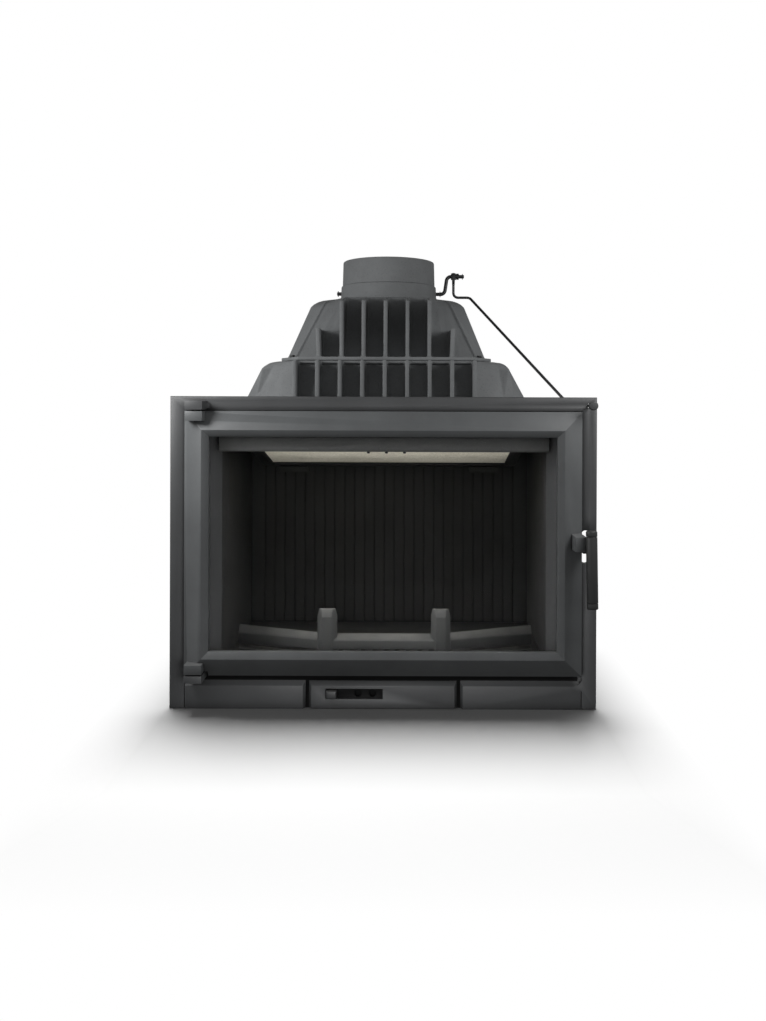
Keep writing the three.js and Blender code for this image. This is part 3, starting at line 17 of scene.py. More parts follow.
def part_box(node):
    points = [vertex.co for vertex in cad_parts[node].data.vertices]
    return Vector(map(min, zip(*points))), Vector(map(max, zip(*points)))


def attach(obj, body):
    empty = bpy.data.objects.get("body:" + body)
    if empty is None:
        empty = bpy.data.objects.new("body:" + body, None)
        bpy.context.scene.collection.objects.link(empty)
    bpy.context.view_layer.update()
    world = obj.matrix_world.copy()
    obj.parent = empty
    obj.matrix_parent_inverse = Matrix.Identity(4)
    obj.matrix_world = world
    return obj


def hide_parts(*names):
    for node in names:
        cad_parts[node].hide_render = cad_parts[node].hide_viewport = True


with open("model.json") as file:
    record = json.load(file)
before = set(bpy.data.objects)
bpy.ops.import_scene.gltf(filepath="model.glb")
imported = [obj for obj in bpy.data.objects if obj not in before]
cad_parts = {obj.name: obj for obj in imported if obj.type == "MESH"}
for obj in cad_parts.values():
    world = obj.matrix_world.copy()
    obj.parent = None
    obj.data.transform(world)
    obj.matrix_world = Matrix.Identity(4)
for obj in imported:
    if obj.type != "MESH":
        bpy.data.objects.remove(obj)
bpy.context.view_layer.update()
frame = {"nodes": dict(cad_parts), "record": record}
nodes = frame["nodes"]
record = frame["record"]
body_of_node = {
    name: body
    for body, names in record["behaviour"]["bodies"].items()
    for name in names
}
slot_of_node = {row["node"]: row["material_slot"] for row in record["subparts"]}
MM = 0.001
print("pieces in the construction:", len(nodes))

# %% [markdown]
# ## Camera
# The photograph is a plain one-point perspective: every upright stays upright and every edge that
# runs to the back meets in one vanishing point. That point lies right of and above the middle of
# the picture, so the camera looks square at the frame and the lens is shifted instead of tilted. A
# tilted camera would have made the uprights lean towards each other.

# %% Camera
PICTURE_WIDTH, PICTURE_HEIGHT = 766, 1021
VANISHING_X, VANISHING_Y = 412, 400
FOCAL_LENGTH_PX = 915
SENSOR = 36.0
VIEW_DISTANCE = 1.5
CAMERA_X = 0.0463
CAMERA_HEIGHT = 0.5068
CAMERA_ROLL = math.radians(0.2)

FLANGE_DEPTH = 12.3 * MM  # from the frame's face back to the base plate
base_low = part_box("base_plate")[0]
front_y = base_low.y - FLANGE_DEPTH

camera_data = bpy.data.cameras.new("studio_camera")
camera_data.sensor_width = SENSOR
camera_data.sensor_fit = "VERTICAL"
camera_data.sensor_height = SENSOR
camera_data.lens = FOCAL_LENGTH_PX / PICTURE_HEIGHT * SENSOR
camera_data.shift_x = (PICTURE_WIDTH / 2 - VANISHING_X) / PICTURE_HEIGHT
camera_data.shift_y = (VANISHING_Y - PICTURE_HEIGHT / 2) / PICTURE_HEIGHT
camera_data.clip_start = 0.01
camera = bpy.data.objects.new("studio_camera", camera_data)
camera.location = (CAMERA_X, front_y - VIEW_DISTANCE, CAMERA_HEIGHT)
camera.rotation_euler = (math.pi / 2, -CAMERA_ROLL, 0)
bpy.context.scene.collection.objects.link(camera)
bpy.context.scene.camera = camera
bpy.context.scene.view_settings.view_transform = "Standard"
print("camera stands", VIEW_DISTANCE, "m before the frame, front at y =", round(front_y, 4))

# %% [markdown]
# ## A short way to wire shader nodes
# Each finish could be wired line by line, but node trees are easier to read when one call makes a
# node, sets it and plugs it in. A socket given as a value is linked; a plain number or colour is
# typed into the socket.


# %% Node helpers
def plug_in(tree, node, plugs):
    for label, value in (plugs or {}).items():
        if isinstance(value, bpy.types.NodeSocket):
            tree.links.new(value, node.inputs[label])
        else:
            node.inputs[label].default_value = value
    return node


def add_node(tree, kind, plugs=None, **settings):
    node = tree.nodes.new(kind)
    for key, value in settings.items():
        setattr(node, key, value)
    return plug_in(tree, node, plugs)


def math_node(tree, operation, first, second=0.0, clamp=False):
    plugs = {0: first, 1: second}
    node = add_node(tree, "ShaderNodeMath", plugs, operation=operation, use_clamp=clamp)
    return node.outputs[0]


def mix_colour(tree, factor, first, second):
    # The Mix node keeps its colour sockets at places 6 and 7, and its colour output at place 2.
    plugs = {0: factor, 6: first, 7: second}
    return add_node(tree, "ShaderNodeMix", plugs, data_type="RGBA").outputs[2]


def map_range(tree, value, low, high, to_low=0.0, to_high=1.0):
    plugs = {0: value, 1: low, 2: high, 3: to_low, 4: to_high}
    return add_node(tree, "ShaderNodeMapRange", plugs).outputs[0]


def paint(red, green, blue):
    """A colour as a paint chip shows it (0 to 255), in the linear values that Blender works in."""
    def channel(value):
        share = value / 255
        return share / 12.92 if share <= 0.04045 else ((share + 0.055) / 1.055) ** 2.4
    return (channel(red), channel(green), channel(blue), 1.0)


def new_group(name, inputs, outputs):
    group = bpy.data.node_groups.new(name, "ShaderNodeTree")
    for label, kind, value in inputs:
        socket = group.interface.new_socket(label, in_out="INPUT", socket_type=kind)
        socket.default_value = value
    for label, kind in outputs:
        group.interface.new_socket(label, in_out="OUTPUT", socket_type=kind)
    return group, group.nodes.new("NodeGroupInput"), group.nodes.new("NodeGroupOutput")


def use_group(tree, group, plugs=None):
    return add_node(tree, "ShaderNodeGroup", plugs, node_tree=group)


# %% [markdown]
# ## Effect: the skin of a sand casting
# Sand leaves a grain of about a millimetre, here and there a pit, and a slow unevenness where
# the mould gave way. All three are noise of different size. The group gives a height for a Bump
# node and a tone that darkens and lightens the paint a little, because paint pools in the pits.

# %% Casting skin group
FLOAT = "NodeSocketFloat"
PITS_PER_GRAIN = 0.3
UNEVENNESS_SCALE = 28.0  # waves per metre
CLOUD_SCALE = 9.0  # paler and darker clouds of paint per metre

casting_skin, group_in, group_out = new_group(
    "casting_skin",
    [("Grain per metre", FLOAT, 900.0), ("Pits", FLOAT, 0.4), ("Unevenness", FLOAT, 0.5)],
    [("Height", FLOAT), ("Tone", FLOAT)],
)
place = add_node(casting_skin, "ShaderNodeTexCoord").outputs["Object"]
grain = add_node(casting_skin, "ShaderNodeTexNoise", {
    "Vector": place, "Scale": group_in.outputs["Grain per metre"], "Detail": 3.0, "Roughness": 0.65,
}).outputs["Fac"]
pit_scale = math_node(
    casting_skin, "MULTIPLY", group_in.outputs["Grain per metre"], PITS_PER_GRAIN,
)
cells = add_node(casting_skin, "ShaderNodeTexVoronoi", {"Vector": place, "Scale": pit_scale})
pits = map_range(casting_skin, cells.outputs["Distance"], 0.05, 0.3, -1.0, 0.0)
pits = math_node(casting_skin, "MULTIPLY", pits, group_in.outputs["Pits"])
waves = add_node(casting_skin, "ShaderNodeTexNoise", {
    "Vector": place, "Scale": UNEVENNESS_SCALE, "Detail": 2.0, "Roughness": 0.5,
}).outputs["Fac"]
slow = math_node(casting_skin, "MULTIPLY", waves, group_in.outputs["Unevenness"])
height = math_node(casting_skin, "ADD", math_node(casting_skin, "ADD", grain, pits), slow)
clouds = add_node(casting_skin, "ShaderNodeTexNoise", {
    "Vector": place, "Scale": CLOUD_SCALE, "Detail": 4.0, "Roughness": 0.6,
}).outputs["Fac"]
tone = math_node(casting_skin, "ADD", clouds, math_node(casting_skin, "MULTIPLY", grain, 0.5))
tone = math_node(casting_skin, "ADD", tone, math_node(casting_skin, "MULTIPLY", pits, 0.4))
casting_skin.links.new(height, group_out.inputs["Height"])
casting_skin.links.new(map_range(casting_skin, tone, 0.35, 1.15), group_out.inputs["Tone"])

# %% [markdown]
# ## Effect: rubbed edges with a painted highlight
# Paint is thinnest on an outer edge, and hands and packing rub it there first. The paler edge is
# also a
# painted highlight: it stands in for the light that a rounded edge catches. A Bevel node rounds the
# normal near an edge, so wherever it differs from the true normal there is an edge. Ambient
# occlusion tells an outer edge from an inner one, and noise breaks the line up.

# %% Rubbed and highlit edge group
EDGE_TURN = (0.995, 0.86)  # cosine between the two normals where wear begins and is full
EDGE_VIEW = 0.006  # how far the ambient occlusion looks, in metres
EDGE_OPENNESS = (0.75, 0.95)  # from an inner corner to an outer edge
PATCH_SCALE = 120.0  # patches of wear per metre

worn_and_highlit_edge, group_in, group_out = new_group(
    "worn_and_highlit_edge",
    [("Reach", FLOAT, 0.0015), ("Patchiness", FLOAT, 0.6)],
    [("Mask", FLOAT)],
)
rounded = add_node(worn_and_highlit_edge, "ShaderNodeBevel", {"Radius": group_in.outputs["Reach"]}, samples=4)
true_normal = add_node(worn_and_highlit_edge, "ShaderNodeNewGeometry").outputs["Normal"]
alike = add_node(worn_and_highlit_edge, "ShaderNodeVectorMath", {0: rounded.outputs[0], 1: true_normal},
                 operation="DOT_PRODUCT").outputs["Value"]
edge = map_range(worn_and_highlit_edge, alike, *EDGE_TURN)
openness = add_node(
    worn_and_highlit_edge, "ShaderNodeAmbientOcclusion", {"Distance": EDGE_VIEW}, samples=4,
).outputs["AO"]
outer = map_range(worn_and_highlit_edge, openness, *EDGE_OPENNESS)
place = add_node(worn_and_highlit_edge, "ShaderNodeTexCoord").outputs["Object"]
patches = add_node(worn_and_highlit_edge, "ShaderNodeTexNoise", {
    "Vector": place, "Scale": PATCH_SCALE, "Detail": 3.0, "Roughness": 0.7,
}).outputs["Fac"]
patches = map_range(worn_and_highlit_edge, patches, 0.35, 0.65)
patchy = math_node(worn_and_highlit_edge, "MULTIPLY", patches, group_in.outputs["Patchiness"])
rest = math_node(worn_and_highlit_edge, "SUBTRACT", 1.0, group_in.outputs["Patchiness"])
mask = math_node(worn_and_highlit_edge, "MULTIPLY", edge, outer)
share = math_node(worn_and_highlit_edge, "ADD", patchy, rest)
mask = math_node(worn_and_highlit_edge, "MULTIPLY", mask, share, clamp=True)
worn_and_highlit_edge.links.new(mask, group_out.inputs["Mask"])

# %% [markdown]
# ## Effect: painted shade in crevices
# Where two castings meet, and in every recess, there is a gap that little light reaches. This group
# paints that shade into the colour. It could be painted by hand on each piece. Ambient occlusion
# with a short reach finds these places by itself, and goes on finding them when a piece changes.

# %% Painted crevice shade group
CREVICE_SHADE_OPENNESS = (0.25, 0.72)  # from quite closed to open

painted_crevice_shade, group_in, group_out = new_group(
    "painted_crevice_shade", [("Reach", FLOAT, 0.006), ("Strength", FLOAT, 0.8)], [("Mask", FLOAT)],
)
openness = add_node(painted_crevice_shade, "ShaderNodeAmbientOcclusion", {
    "Distance": group_in.outputs["Reach"],
}, samples=6).outputs["AO"]
# painted shade: the more closed a place is, the more its colour is darkened
closed = map_range(painted_crevice_shade, openness, *CREVICE_SHADE_OPENNESS, 1.0, 0.0)
mask = math_node(painted_crevice_shade, "MULTIPLY", closed, group_in.outputs["Strength"], clamp=True)
painted_crevice_shade.links.new(mask, group_out.inputs["Mask"])

# %% [markdown]
# ## Effect: settled dust
# Dust lies on whatever faces up. The normal's upward share is the mask, broken up by a soft noise.

# %% Settled dust group
DUST_SLOPE = (0.55, 1.0)  # upward share of the normal where dust begins to lie and is thickest
DRIFT_SCALE = 35.0  # drifts per metre

settled_dust, group_in, group_out = new_group(
    "settled_dust", [("Amount", FLOAT, 0.3)], [("Mask", FLOAT)],
)
normal = add_node(settled_dust, "ShaderNodeNewGeometry").outputs["Normal"]
upward = add_node(settled_dust, "ShaderNodeSeparateXYZ", {0: normal}).outputs["Z"]
facing = map_range(settled_dust, upward, *DUST_SLOPE)
place = add_node(settled_dust, "ShaderNodeTexCoord").outputs["Object"]
drift = add_node(settled_dust, "ShaderNodeTexNoise", {
    "Vector": place, "Scale": DRIFT_SCALE, "Detail": 4.0, "Roughness": 0.6,
}).outputs["Fac"]
drift = map_range(settled_dust, drift, 0.3, 0.7, 0.4, 1.0)
mask = math_node(settled_dust, "MULTIPLY", facing, drift)
mask = math_node(settled_dust, "MULTIPLY", mask, group_in.outputs["Amount"], clamp=True)
settled_dust.links.new(mask, group_out.inputs["Mask"])

# %% [markdown]
# ## The recipe of an iron finish
# All iron shares one recipe: paint colour, casting skin, rubbed edges with a painted highlight,
# dust, and painted shade in the gaps. What differs is how coarse the sand was, how shiny the paint
# is and how sooty the place. So one function builds the material and the finishes are calls with
# their own numbers.

# %% Iron finish recipe
DUST_COLOUR = paint(150, 148, 144)
# painted shade: the near-black that the crevice mask mixes into the paint
SHADE_COLOUR = paint(12, 12, 12)
WEAR_AND_HIGHLIGHT_GAIN = 2.4  # how much paler a worn edge with its painted highlight is than the paint, unless it has its own colour
GLOSS_SPREAD = 0.06  # the paint's dark patches are this much rougher, its pale ones smoother


def iron_finish(name, colour, roughness, grain=900.0, pits=0.3, unevenness=0.4, relief=0.00025,
                edge_colour=None, edge_share=0.5, dust=0.15, mottle=0.3,
                shade_reach=0.006, shade_strength=0.8):
    material = bpy.data.materials.new(name)
    material.use_nodes = True
    tree = material.node_tree
    shader = tree.nodes["Principled BSDF"]
    skin = use_group(tree, casting_skin, {
        "Grain per metre": grain, "Pits": pits, "Unevenness": unevenness,
    })
    darker = tuple(c * (1 - mottle) for c in colour[:3]) + (1.0,)
    lighter = tuple(c * (1 + mottle) for c in colour[:3]) + (1.0,)
    coat = mix_colour(tree, skin.outputs["Tone"], darker, lighter)
    edges = use_group(tree, worn_and_highlit_edge)
    # paler edges: partly wear, partly a painted highlight
    worn_and_highlit = edge_colour or tuple(min(c * WEAR_AND_HIGHLIGHT_GAIN, 1.0) for c in colour[:3]) + (1.0,)
    edge_mask = math_node(tree, "MULTIPLY", edges.outputs["Mask"], edge_share)
    coat = mix_colour(tree, edge_mask, coat, worn_and_highlit)
    dusty = use_group(tree, settled_dust, {"Amount": dust})
    coat = mix_colour(tree, dusty.outputs["Mask"], coat, DUST_COLOUR)
    # painted shade in crevices and recesses
    gap_shade = use_group(tree, painted_crevice_shade, {"Reach": shade_reach, "Strength": shade_strength})
    coat = mix_colour(tree, gap_shade.outputs["Mask"], coat, SHADE_COLOUR)
    tree.links.new(coat, shader.inputs["Base Color"])
    matt = map_range(tree, skin.outputs["Tone"], 0.0, 1.0,
                     roughness + GLOSS_SPREAD, roughness - GLOSS_SPREAD)
    tree.links.new(matt, shader.inputs["Roughness"])
    relief_node = add_node(tree, "ShaderNodeBump", {
        "Height": skin.outputs["Height"], "Distance": relief, "Strength": 1.0,
    })
    tree.links.new(relief_node.outputs["Normal"], shader.inputs["Normal"])
    shader.inputs["Metallic"].default_value = 0.0
    return material


# %% [markdown]
# ## The iron finishes
# The frame and the door are fine castings in satin paint. The door's paint is a shade paler, and
# that is
# painted sheen: it stands in for the light that the door's sloping bands catch. The hood is coarse
# and more matt. What stands in the fire is sooty, and the log guard has ash on top. The lever, the
# slider and the pan are nearly black. One finish for all would be simpler, but in the photograph
# the door, the hood and the fire chamber are clearly different greys.

# %% Iron finishes
FINE = {"grain": 1100, "relief": 0.00012}
COARSE = {"grain": 650, "pits": 0.5, "relief": 0.0003}
SMOOTH = {"pits": 0.1, "relief": 0.00006}

# painted shade reaches far on the frame, to darken the recess under the door
painted_iron = iron_finish("painted_iron", paint(56, 57, 58), 0.5,
                           shade_reach=0.03, shade_strength=1.0, **FINE)
# painted sheen: paler than the frame's paint, for the light on the door's sloping bands
door_iron_painted_sheen = iron_finish("door_iron_painted_sheen", paint(87, 89, 90), 0.44, shade_reach=0.004, **FINE)
hood_iron = iron_finish("hood_iron", paint(100, 102, 103), 0.75, grain=700, pits=0.6, dust=0.1,
                        unevenness=0.8, relief=0.0003, edge_share=0.4, shade_strength=0.1)
inner_iron = iron_finish("inner_iron", paint(94, 95, 95), 0.6,
                         dust=0.05, edge_share=0.3, **COARSE)
sooty_iron = iron_finish("sooty_iron", paint(44, 44, 44), 0.85,
                         dust=0.0, edge_share=0.2, **COARSE)
guard_iron = iron_finish("guard_iron", paint(58, 59, 59), 0.6,
                         dust=0.5, edge_share=0.4, **COARSE)
dull_black = iron_finish("dull_black", paint(24, 24, 25), 0.6, grain=1800, dust=0.0, **SMOOTH)
# painted shade: near-black for the strip that stands for the shade in the joint under the door
shade_black = iron_finish("shade_black", paint(8, 8, 8), 0.9,
                         grain=1800, pits=0.0, relief=0.00006, dust=0.0)
grip_black = iron_finish("grip_black", paint(44, 45, 45), 0.5, grain=1500, dust=0.05, **SMOOTH)
black_steel = iron_finish("black_steel", paint(34, 35, 36), 0.42, grain=2200, unevenness=0.1,
                          edge_colour=paint(120, 120, 118), **SMOOTH)
sheet_steel = iron_finish("sheet_steel", paint(120, 124, 127), 0.45, grain=1600, pits=0.05,
                          unevenness=0.6, relief=0.00004, mottle=0.12)

# %% [markdown]
# ## Which piece wears which finish
# The record gives every piece a material slot. Most pieces wear their slot's finish, and the few
# whose look differs from it are named one by one.

# %% Finishes by piece and by slot
finish_of_slot = {
    "painted_iron": painted_iron,
    "hood_iron": hood_iron,
    "inner_iron": inner_iron,
    "black_steel": black_steel,
    "sheet_steel": sheet_steel,
}
wearers = (
    (sooty_iron, ("back_liner", "side_liner_left", "side_liner_right",
                  "hearth_plate", "grate", "deflector_carrier")),
    (grip_black, ("grip_sleeve", "grip_cap_top", "grip_cap_bottom")),
    (dull_black, ("air_slider_plate", "handle_lever", "ash_pan")),
    (guard_iron, ("log_guard",)),
    (door_iron_painted_sheen, ("door_frame",)),
)
finish_of_node = {name: finish for finish, names in wearers for name in names}
print("iron finishes:", sorted(finish_of_slot))

# %% [markdown]
# ## Glass
# The door holds a 4 mm pane of clear glass ceramic. It could be left a plain glass, but light has
# to get through it to the fire chamber, which a path tracer finds hard. So shadow rays pass
# straight through, while camera rays still refract and reflect as glass does.

# %% Glass finish
glass = bpy.data.materials.new("ceramic_glass")
glass.use_nodes = True
tree = glass.node_tree
shader = tree.nodes["Principled BSDF"]
shader.inputs["Base Color"].default_value = (0.96, 0.96, 0.95, 1.0)
shader.inputs["Roughness"].default_value = 0.02
shader.inputs["IOR"].default_value = 1.1
shader.inputs["Transmission Weight"].default_value = 1.0
clear = add_node(tree, "ShaderNodeBsdfTransparent", {"Color": (0.92, 0.92, 0.92, 1.0)})
ray = add_node(tree, "ShaderNodeLightPath").outputs["Is Shadow Ray"]
either = add_node(tree, "ShaderNodeMixShader", {0: ray, 1: shader.outputs[0], 2: clear.outputs[0]})
tree.links.new(either.outputs[0], tree.nodes["Material Output"].inputs["Surface"])
finish_of_slot["ceramic_glass"] = glass

# %% [markdown]
# ## Vermiculite
# The deflector board is pressed vermiculite: a pale, crumbly sheet of mica flakes. Each flake could
# be a small mesh, but at this size a fine cell pattern of slightly different creams reads the same.
# A slow noise adds the smoke stains.

# %% Board finish
FLAKES_PER_METRE = 420.0
STAINS_PER_METRE = 14.0
STAIN_RANGE = (0.45, 0.75)  # noise values between which a stain comes in
STAIN_SHARE = 0.35

vermiculite = bpy.data.materials.new("vermiculite")
vermiculite.use_nodes = True
tree = vermiculite.node_tree
shader = tree.nodes["Principled BSDF"]
place = add_node(tree, "ShaderNodeTexCoord").outputs["Object"]
flakes = add_node(tree, "ShaderNodeTexVoronoi", {
    "Vector": place, "Scale": FLAKES_PER_METRE, "Randomness": 1.0,
})
flake_tone = add_node(tree, "ShaderNodeSeparateColor", {0: flakes.outputs["Color"]}).outputs[0]
coat = mix_colour(tree, flake_tone, paint(218, 212, 192), paint(246, 241, 224))
stains = add_node(tree, "ShaderNodeTexNoise", {
    "Vector": place, "Scale": STAINS_PER_METRE, "Detail": 5.0,
}).outputs["Fac"]
stained = map_range(tree, stains, *STAIN_RANGE, 0.0, STAIN_SHARE)
coat = mix_colour(tree, stained, coat, paint(120, 112, 94))
tree.links.new(coat, shader.inputs["Base Color"])
shader.inputs["Roughness"].default_value = 0.92
crumbs = add_node(tree, "ShaderNodeBump", {
    "Height": flakes.outputs["Distance"], "Distance": 0.0006,
})
tree.links.new(crumbs.outputs["Normal"], shader.inputs["Normal"])
finish_of_slot["vermiculite"] = vermiculite

# %% [markdown]
# ## Rope
# The door is sealed with braided glass-fibre rope: two sets of strands that cross on the diagonal.
# Modelled strands would be finer than a pixel, so a pair of crossed waves makes the braid.

# %% Rope finish
STRAND_LEAN = 0.785  # an eighth of a turn, in radians
STRANDS_PER_METRE = 130.0

rope = bpy.data.materials.new("rope")
rope.use_nodes = True
tree = rope.node_tree
shader = tree.nodes["Principled BSDF"]
place = add_node(tree, "ShaderNodeTexCoord").outputs["Object"]
strands = []
for lean in (1.0, -1.0):
    turned = add_node(tree, "ShaderNodeMapping", {
        "Vector": place, "Rotation": (0.0, lean * STRAND_LEAN, 0.0),
    })
    wave = add_node(tree, "ShaderNodeTexWave", {
        "Vector": turned.outputs[0], "Scale": STRANDS_PER_METRE, "Distortion": 0.6,
    })
    strands.append(wave.outputs["Fac"])
braid = math_node(tree, "MULTIPLY", strands[0], strands[1])
coat = mix_colour(tree, braid, paint(26, 26, 25), paint(70, 69, 66))
tree.links.new(coat, shader.inputs["Base Color"])
shader.inputs["Roughness"].default_value = 0.95
weave = add_node(tree, "ShaderNodeBump", {"Height": braid, "Distance": 0.0008})
tree.links.new(weave.outputs["Normal"], shader.inputs["Normal"])
finish_of_slot["rope"] = rope

# %% [markdown]
# ## Studio: the surroundings
# The insert was photographed in a white, soft studio. An even white world would light it flat, so
# the world is brighter at the horizon than overhead, as between white walls. The camera itself sees
# pure white, through the glass too.

# %% World
HORIZON, ZENITH = 0.56, 0.1  # strength of the world's light at the two heights
ZENITH_RISE = 0.8  # upward share of the direction where the zenith's strength is reached

world = bpy.data.worlds.new("studio_world")
bpy.context.scene.world = world
world.use_nodes = True
tree = world.node_tree
background = tree.nodes["Background"]
background.inputs["Color"].default_value = (1, 1, 1, 1)
path = add_node(tree, "ShaderNodeLightPath")
seen = math_node(
    tree, "MAXIMUM", path.outputs["Is Camera Ray"], path.outputs["Is Transmission Ray"],
)
sky = add_node(tree, "ShaderNodeSeparateXYZ", {
    0: add_node(tree, "ShaderNodeTexCoord").outputs["Generated"],
}).outputs["Z"]
surroundings = map_range(tree, sky, 0.0, ZENITH_RISE, HORIZON, ZENITH)
strength = math_node(tree, "MAXIMUM", surroundings, seen)
tree.links.new(strength, background.inputs["Strength"])

# %% [markdown]
# ## Studio: the floor
# The photograph shows a soft shadow before the insert and pure white everywhere else. The floor is
# one large sheet that keeps its shadow near the insert and fades to plain white further out. A
# curved backdrop would do as much, but its bend would show from the side.

# %% Floor
FLOOR_HALF = 6.0
FLOOR_DROP = 0.0004  # just below the insert's underside
FADE_X = (0.35, 0.45)  # metres from the middle between which the shadow fades, sideways
FADE_Y = (0.52, 0.80)  # and to the front
FLOOR_GREY = 0.45
FLOOR_BOUNCE = 0.12  # light that the floor throws back at the insert

floor_mesh = bpy.data.meshes.new("studio_floor")
corners = [(side * FLOOR_HALF, depth * FLOOR_HALF, -FLOOR_DROP)
           for side, depth in ((-1, -1), (1, -1), (1, 1), (-1, 1))]
floor_mesh.from_pydata(corners, [], [(0, 1, 2, 3)])
floor = bpy.data.objects.new("studio_floor", floor_mesh)
bpy.context.scene.collection.objects.link(floor)
floor_finish = bpy.data.materials.new("studio_floor")
floor_finish.use_nodes = True
tree = floor_finish.node_tree
shader = tree.nodes["Principled BSDF"]
shader.inputs["Base Color"].default_value = (FLOOR_GREY, FLOOR_GREY, FLOOR_GREY, 1.0)
shader.inputs["Roughness"].default_value = 0.9
shader.inputs["Specular IOR Level"].default_value = 0.1
place = add_node(tree, "ShaderNodeSeparateXYZ", {
    0: add_node(tree, "ShaderNodeNewGeometry").outputs["Position"],
})
fade_x = map_range(tree, math_node(tree, "ABSOLUTE", place.outputs["X"]), *FADE_X)
fade_y = map_range(tree, math_node(tree, "ABSOLUTE", place.outputs["Y"]), *FADE_Y)
fade = math_node(tree, "MAXIMUM", fade_x, fade_y)
white = add_node(tree, "ShaderNodeEmission", {"Color": (1, 1, 1, 1), "Strength": 1.0})
seen = add_node(tree, "ShaderNodeMixShader", {
    0: fade, 1: shader.outputs[0], 2: white.outputs[0],
})
bounce = add_node(tree, "ShaderNodeEmission", {"Color": (1, 1, 1, 1), "Strength": FLOOR_BOUNCE})
eye = add_node(tree, "ShaderNodeLightPath").outputs["Is Camera Ray"]
mixed = add_node(tree, "ShaderNodeMixShader", {
    0: eye, 1: bounce.outputs[0], 2: seen.outputs[0],
})
tree.links.new(mixed.outputs[0], tree.nodes["Material Output"].inputs["Surface"])
floor_mesh.materials.append(floor_finish)

# %% [markdown]
# ## Studio: the lamps
# Two globe lamps stand before the upper corners, the left one stronger, so the light falls off
# towards the foot of the frame. A third one stands low before the drawer and lifts the frame's
# front, and a fourth one shows the pale deflector board through the glass. The floor has a softbox
# of its own overhead, a little behind the insert, which throws the shadow forward. One lamp can't
# do all of this, so light linking keeps the jobs apart: each lamp lights one set of pieces.

# %% What each lamp lights
only_floor = bpy.data.collections.new("lit_by_softbox")
only_floor.objects.link(floor)
not_floor = bpy.data.collections.new("lit_by_globes")
not_floor.objects.link(floor)
not_floor.collection_objects[0].light_linking.link_state = "EXCLUDE"
low_front = bpy.data.collections.new("lit_from_below")
board_only = bpy.data.collections.new("lit_through_the_glass")
LIT_FROM_BELOW = ("front_frame", "drawer_front", "deflector_board", "air_slider_knob")


# %% Lamps
def hang_lamp(name, lamp_data, location, watts, lights):
    lamp_data.energy = watts
    lamp = bpy.data.objects.new(name, lamp_data)
    lamp.location = location
    lamp.visible_camera = False
    lamp.light_linking.receiver_collection = lights
    bpy.context.scene.collection.objects.link(lamp)


def globe(name, location, radius, watts, lights):
    lamp_data = bpy.data.lights.new(name, "POINT")
    lamp_data.shadow_soft_size = radius
    hang_lamp(name, lamp_data, location, watts, lights)


softbox = bpy.data.lights.new("floor_softbox", "AREA")
softbox.shape = "RECTANGLE"
softbox.size, softbox.size_y = 1.6, 1.0
hang_lamp("floor_softbox", softbox, (-0.1, 0.35, 2.2), 145, only_floor)
# name, place, radius (both in metres), watts, what it lights
globe("left_globe", (-0.55, -0.46, 0.68), 0.12, 12.5, not_floor)
globe("right_globe", (0.55, -0.46, 0.7), 0.12, 7.0, not_floor)
globe("low_globe", (0.0, -0.75, 0.08), 0.15, 9.0, low_front)
globe("board_globe", (0.0, -0.5, 0.22), 0.1, 9.5, board_only)

# %% [markdown]
# ## From faceted solids to soft castings
# The construction's solids have knife edges, and iron never has. Two ways of softening suit
# different pieces. Most are copied and their sharp edges bevelled. The two castings of the hood are
# rebuilt on a fine voxel grid and relaxed, which also fills their inner corners with the fillets
# that a foundry needs. The solids themselves stay as they are: each piece is a copy that is shown
# in place of its node.

# %% Copying helpers
WELD = 0.00002  # corners nearer than this, in metres, are one corner
FLAT = math.radians(0.6)  # facets that meet at less than this are one face
SMOOTH_TO = 40  # degrees between two faces up to which their edge is shaded smooth


def dress(piece, name):
    slot = slot_of_node[name]
    piece.data.materials.clear()
    piece.data.materials.append(finish_of_node.get(name, finish_of_slot[slot]))


def stand_for(piece, *names):
    """The piece is shown in place of these nodes and moves with the first one's body."""
    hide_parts(*names)
    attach(piece, body_of_node[names[0]])
    if names[0] in LIT_FROM_BELOW:
        low_front.objects.link(piece)
    if names[0] == "deflector_board":
        board_only.objects.link(piece)
    dress(piece, names[0])
    return piece


def clean_copy(name):
    """A copy of a node's mesh with its coplanar facets joined into whole faces."""
    mesh = bpy.data.meshes.new(name + "_soft")
    work = bmesh.new()
    work.from_mesh(nodes[name].data)
    bmesh.ops.remove_doubles(work, verts=work.verts, dist=WELD)
    bmesh.ops.dissolve_limit(work, angle_limit=FLAT, verts=work.verts, edges=work.edges)
    bmesh.ops.recalc_face_normals(work, faces=work.faces)
    work.to_mesh(mesh)
    work.free()
    piece = bpy.data.objects.new(name + "_soft", mesh)
    bpy.context.scene.collection.objects.link(piece)
    return piece


def settle(piece, smooth_to=SMOOTH_TO):
    """Applies a piece's modifiers and shades it smooth, except across edges sharper than given."""
    bpy.context.view_layer.update()
    graph = bpy.context.evaluated_depsgraph_get()
    mesh = bpy.data.meshes.new_from_object(piece.evaluated_get(graph))
    piece.modifiers.clear()
    piece.data = mesh
    mesh.shade_smooth()
    mesh.set_sharp_from_angle(angle=math.radians(smooth_to))
    return piece


# %% Bevel helper
BEVEL_FROM = math.radians(32)  # edges that turn by more than this are bevelled


def add_bevel(piece, width):
    bevel = piece.modifiers.new("soft_edges", "BEVEL")
    bevel.width = width
    bevel.segments = 2
    bevel.limit_method = "ANGLE"
    bevel.angle_limit = BEVEL_FROM
    bevel.use_clamp_overlap = True
    bevel.harden_normals = False


# %% [markdown]
# ## A bar along a path
# Bent bars, pins and the beads of the hood are all a round section carried along a path. A curve
# with a bevel would make them too, but the chamfers at its ends would have to be cut afterwards.
# Here a ring of points is moved from station to station, kept square to the path without twisting,
# and drawn in a little at both ends.


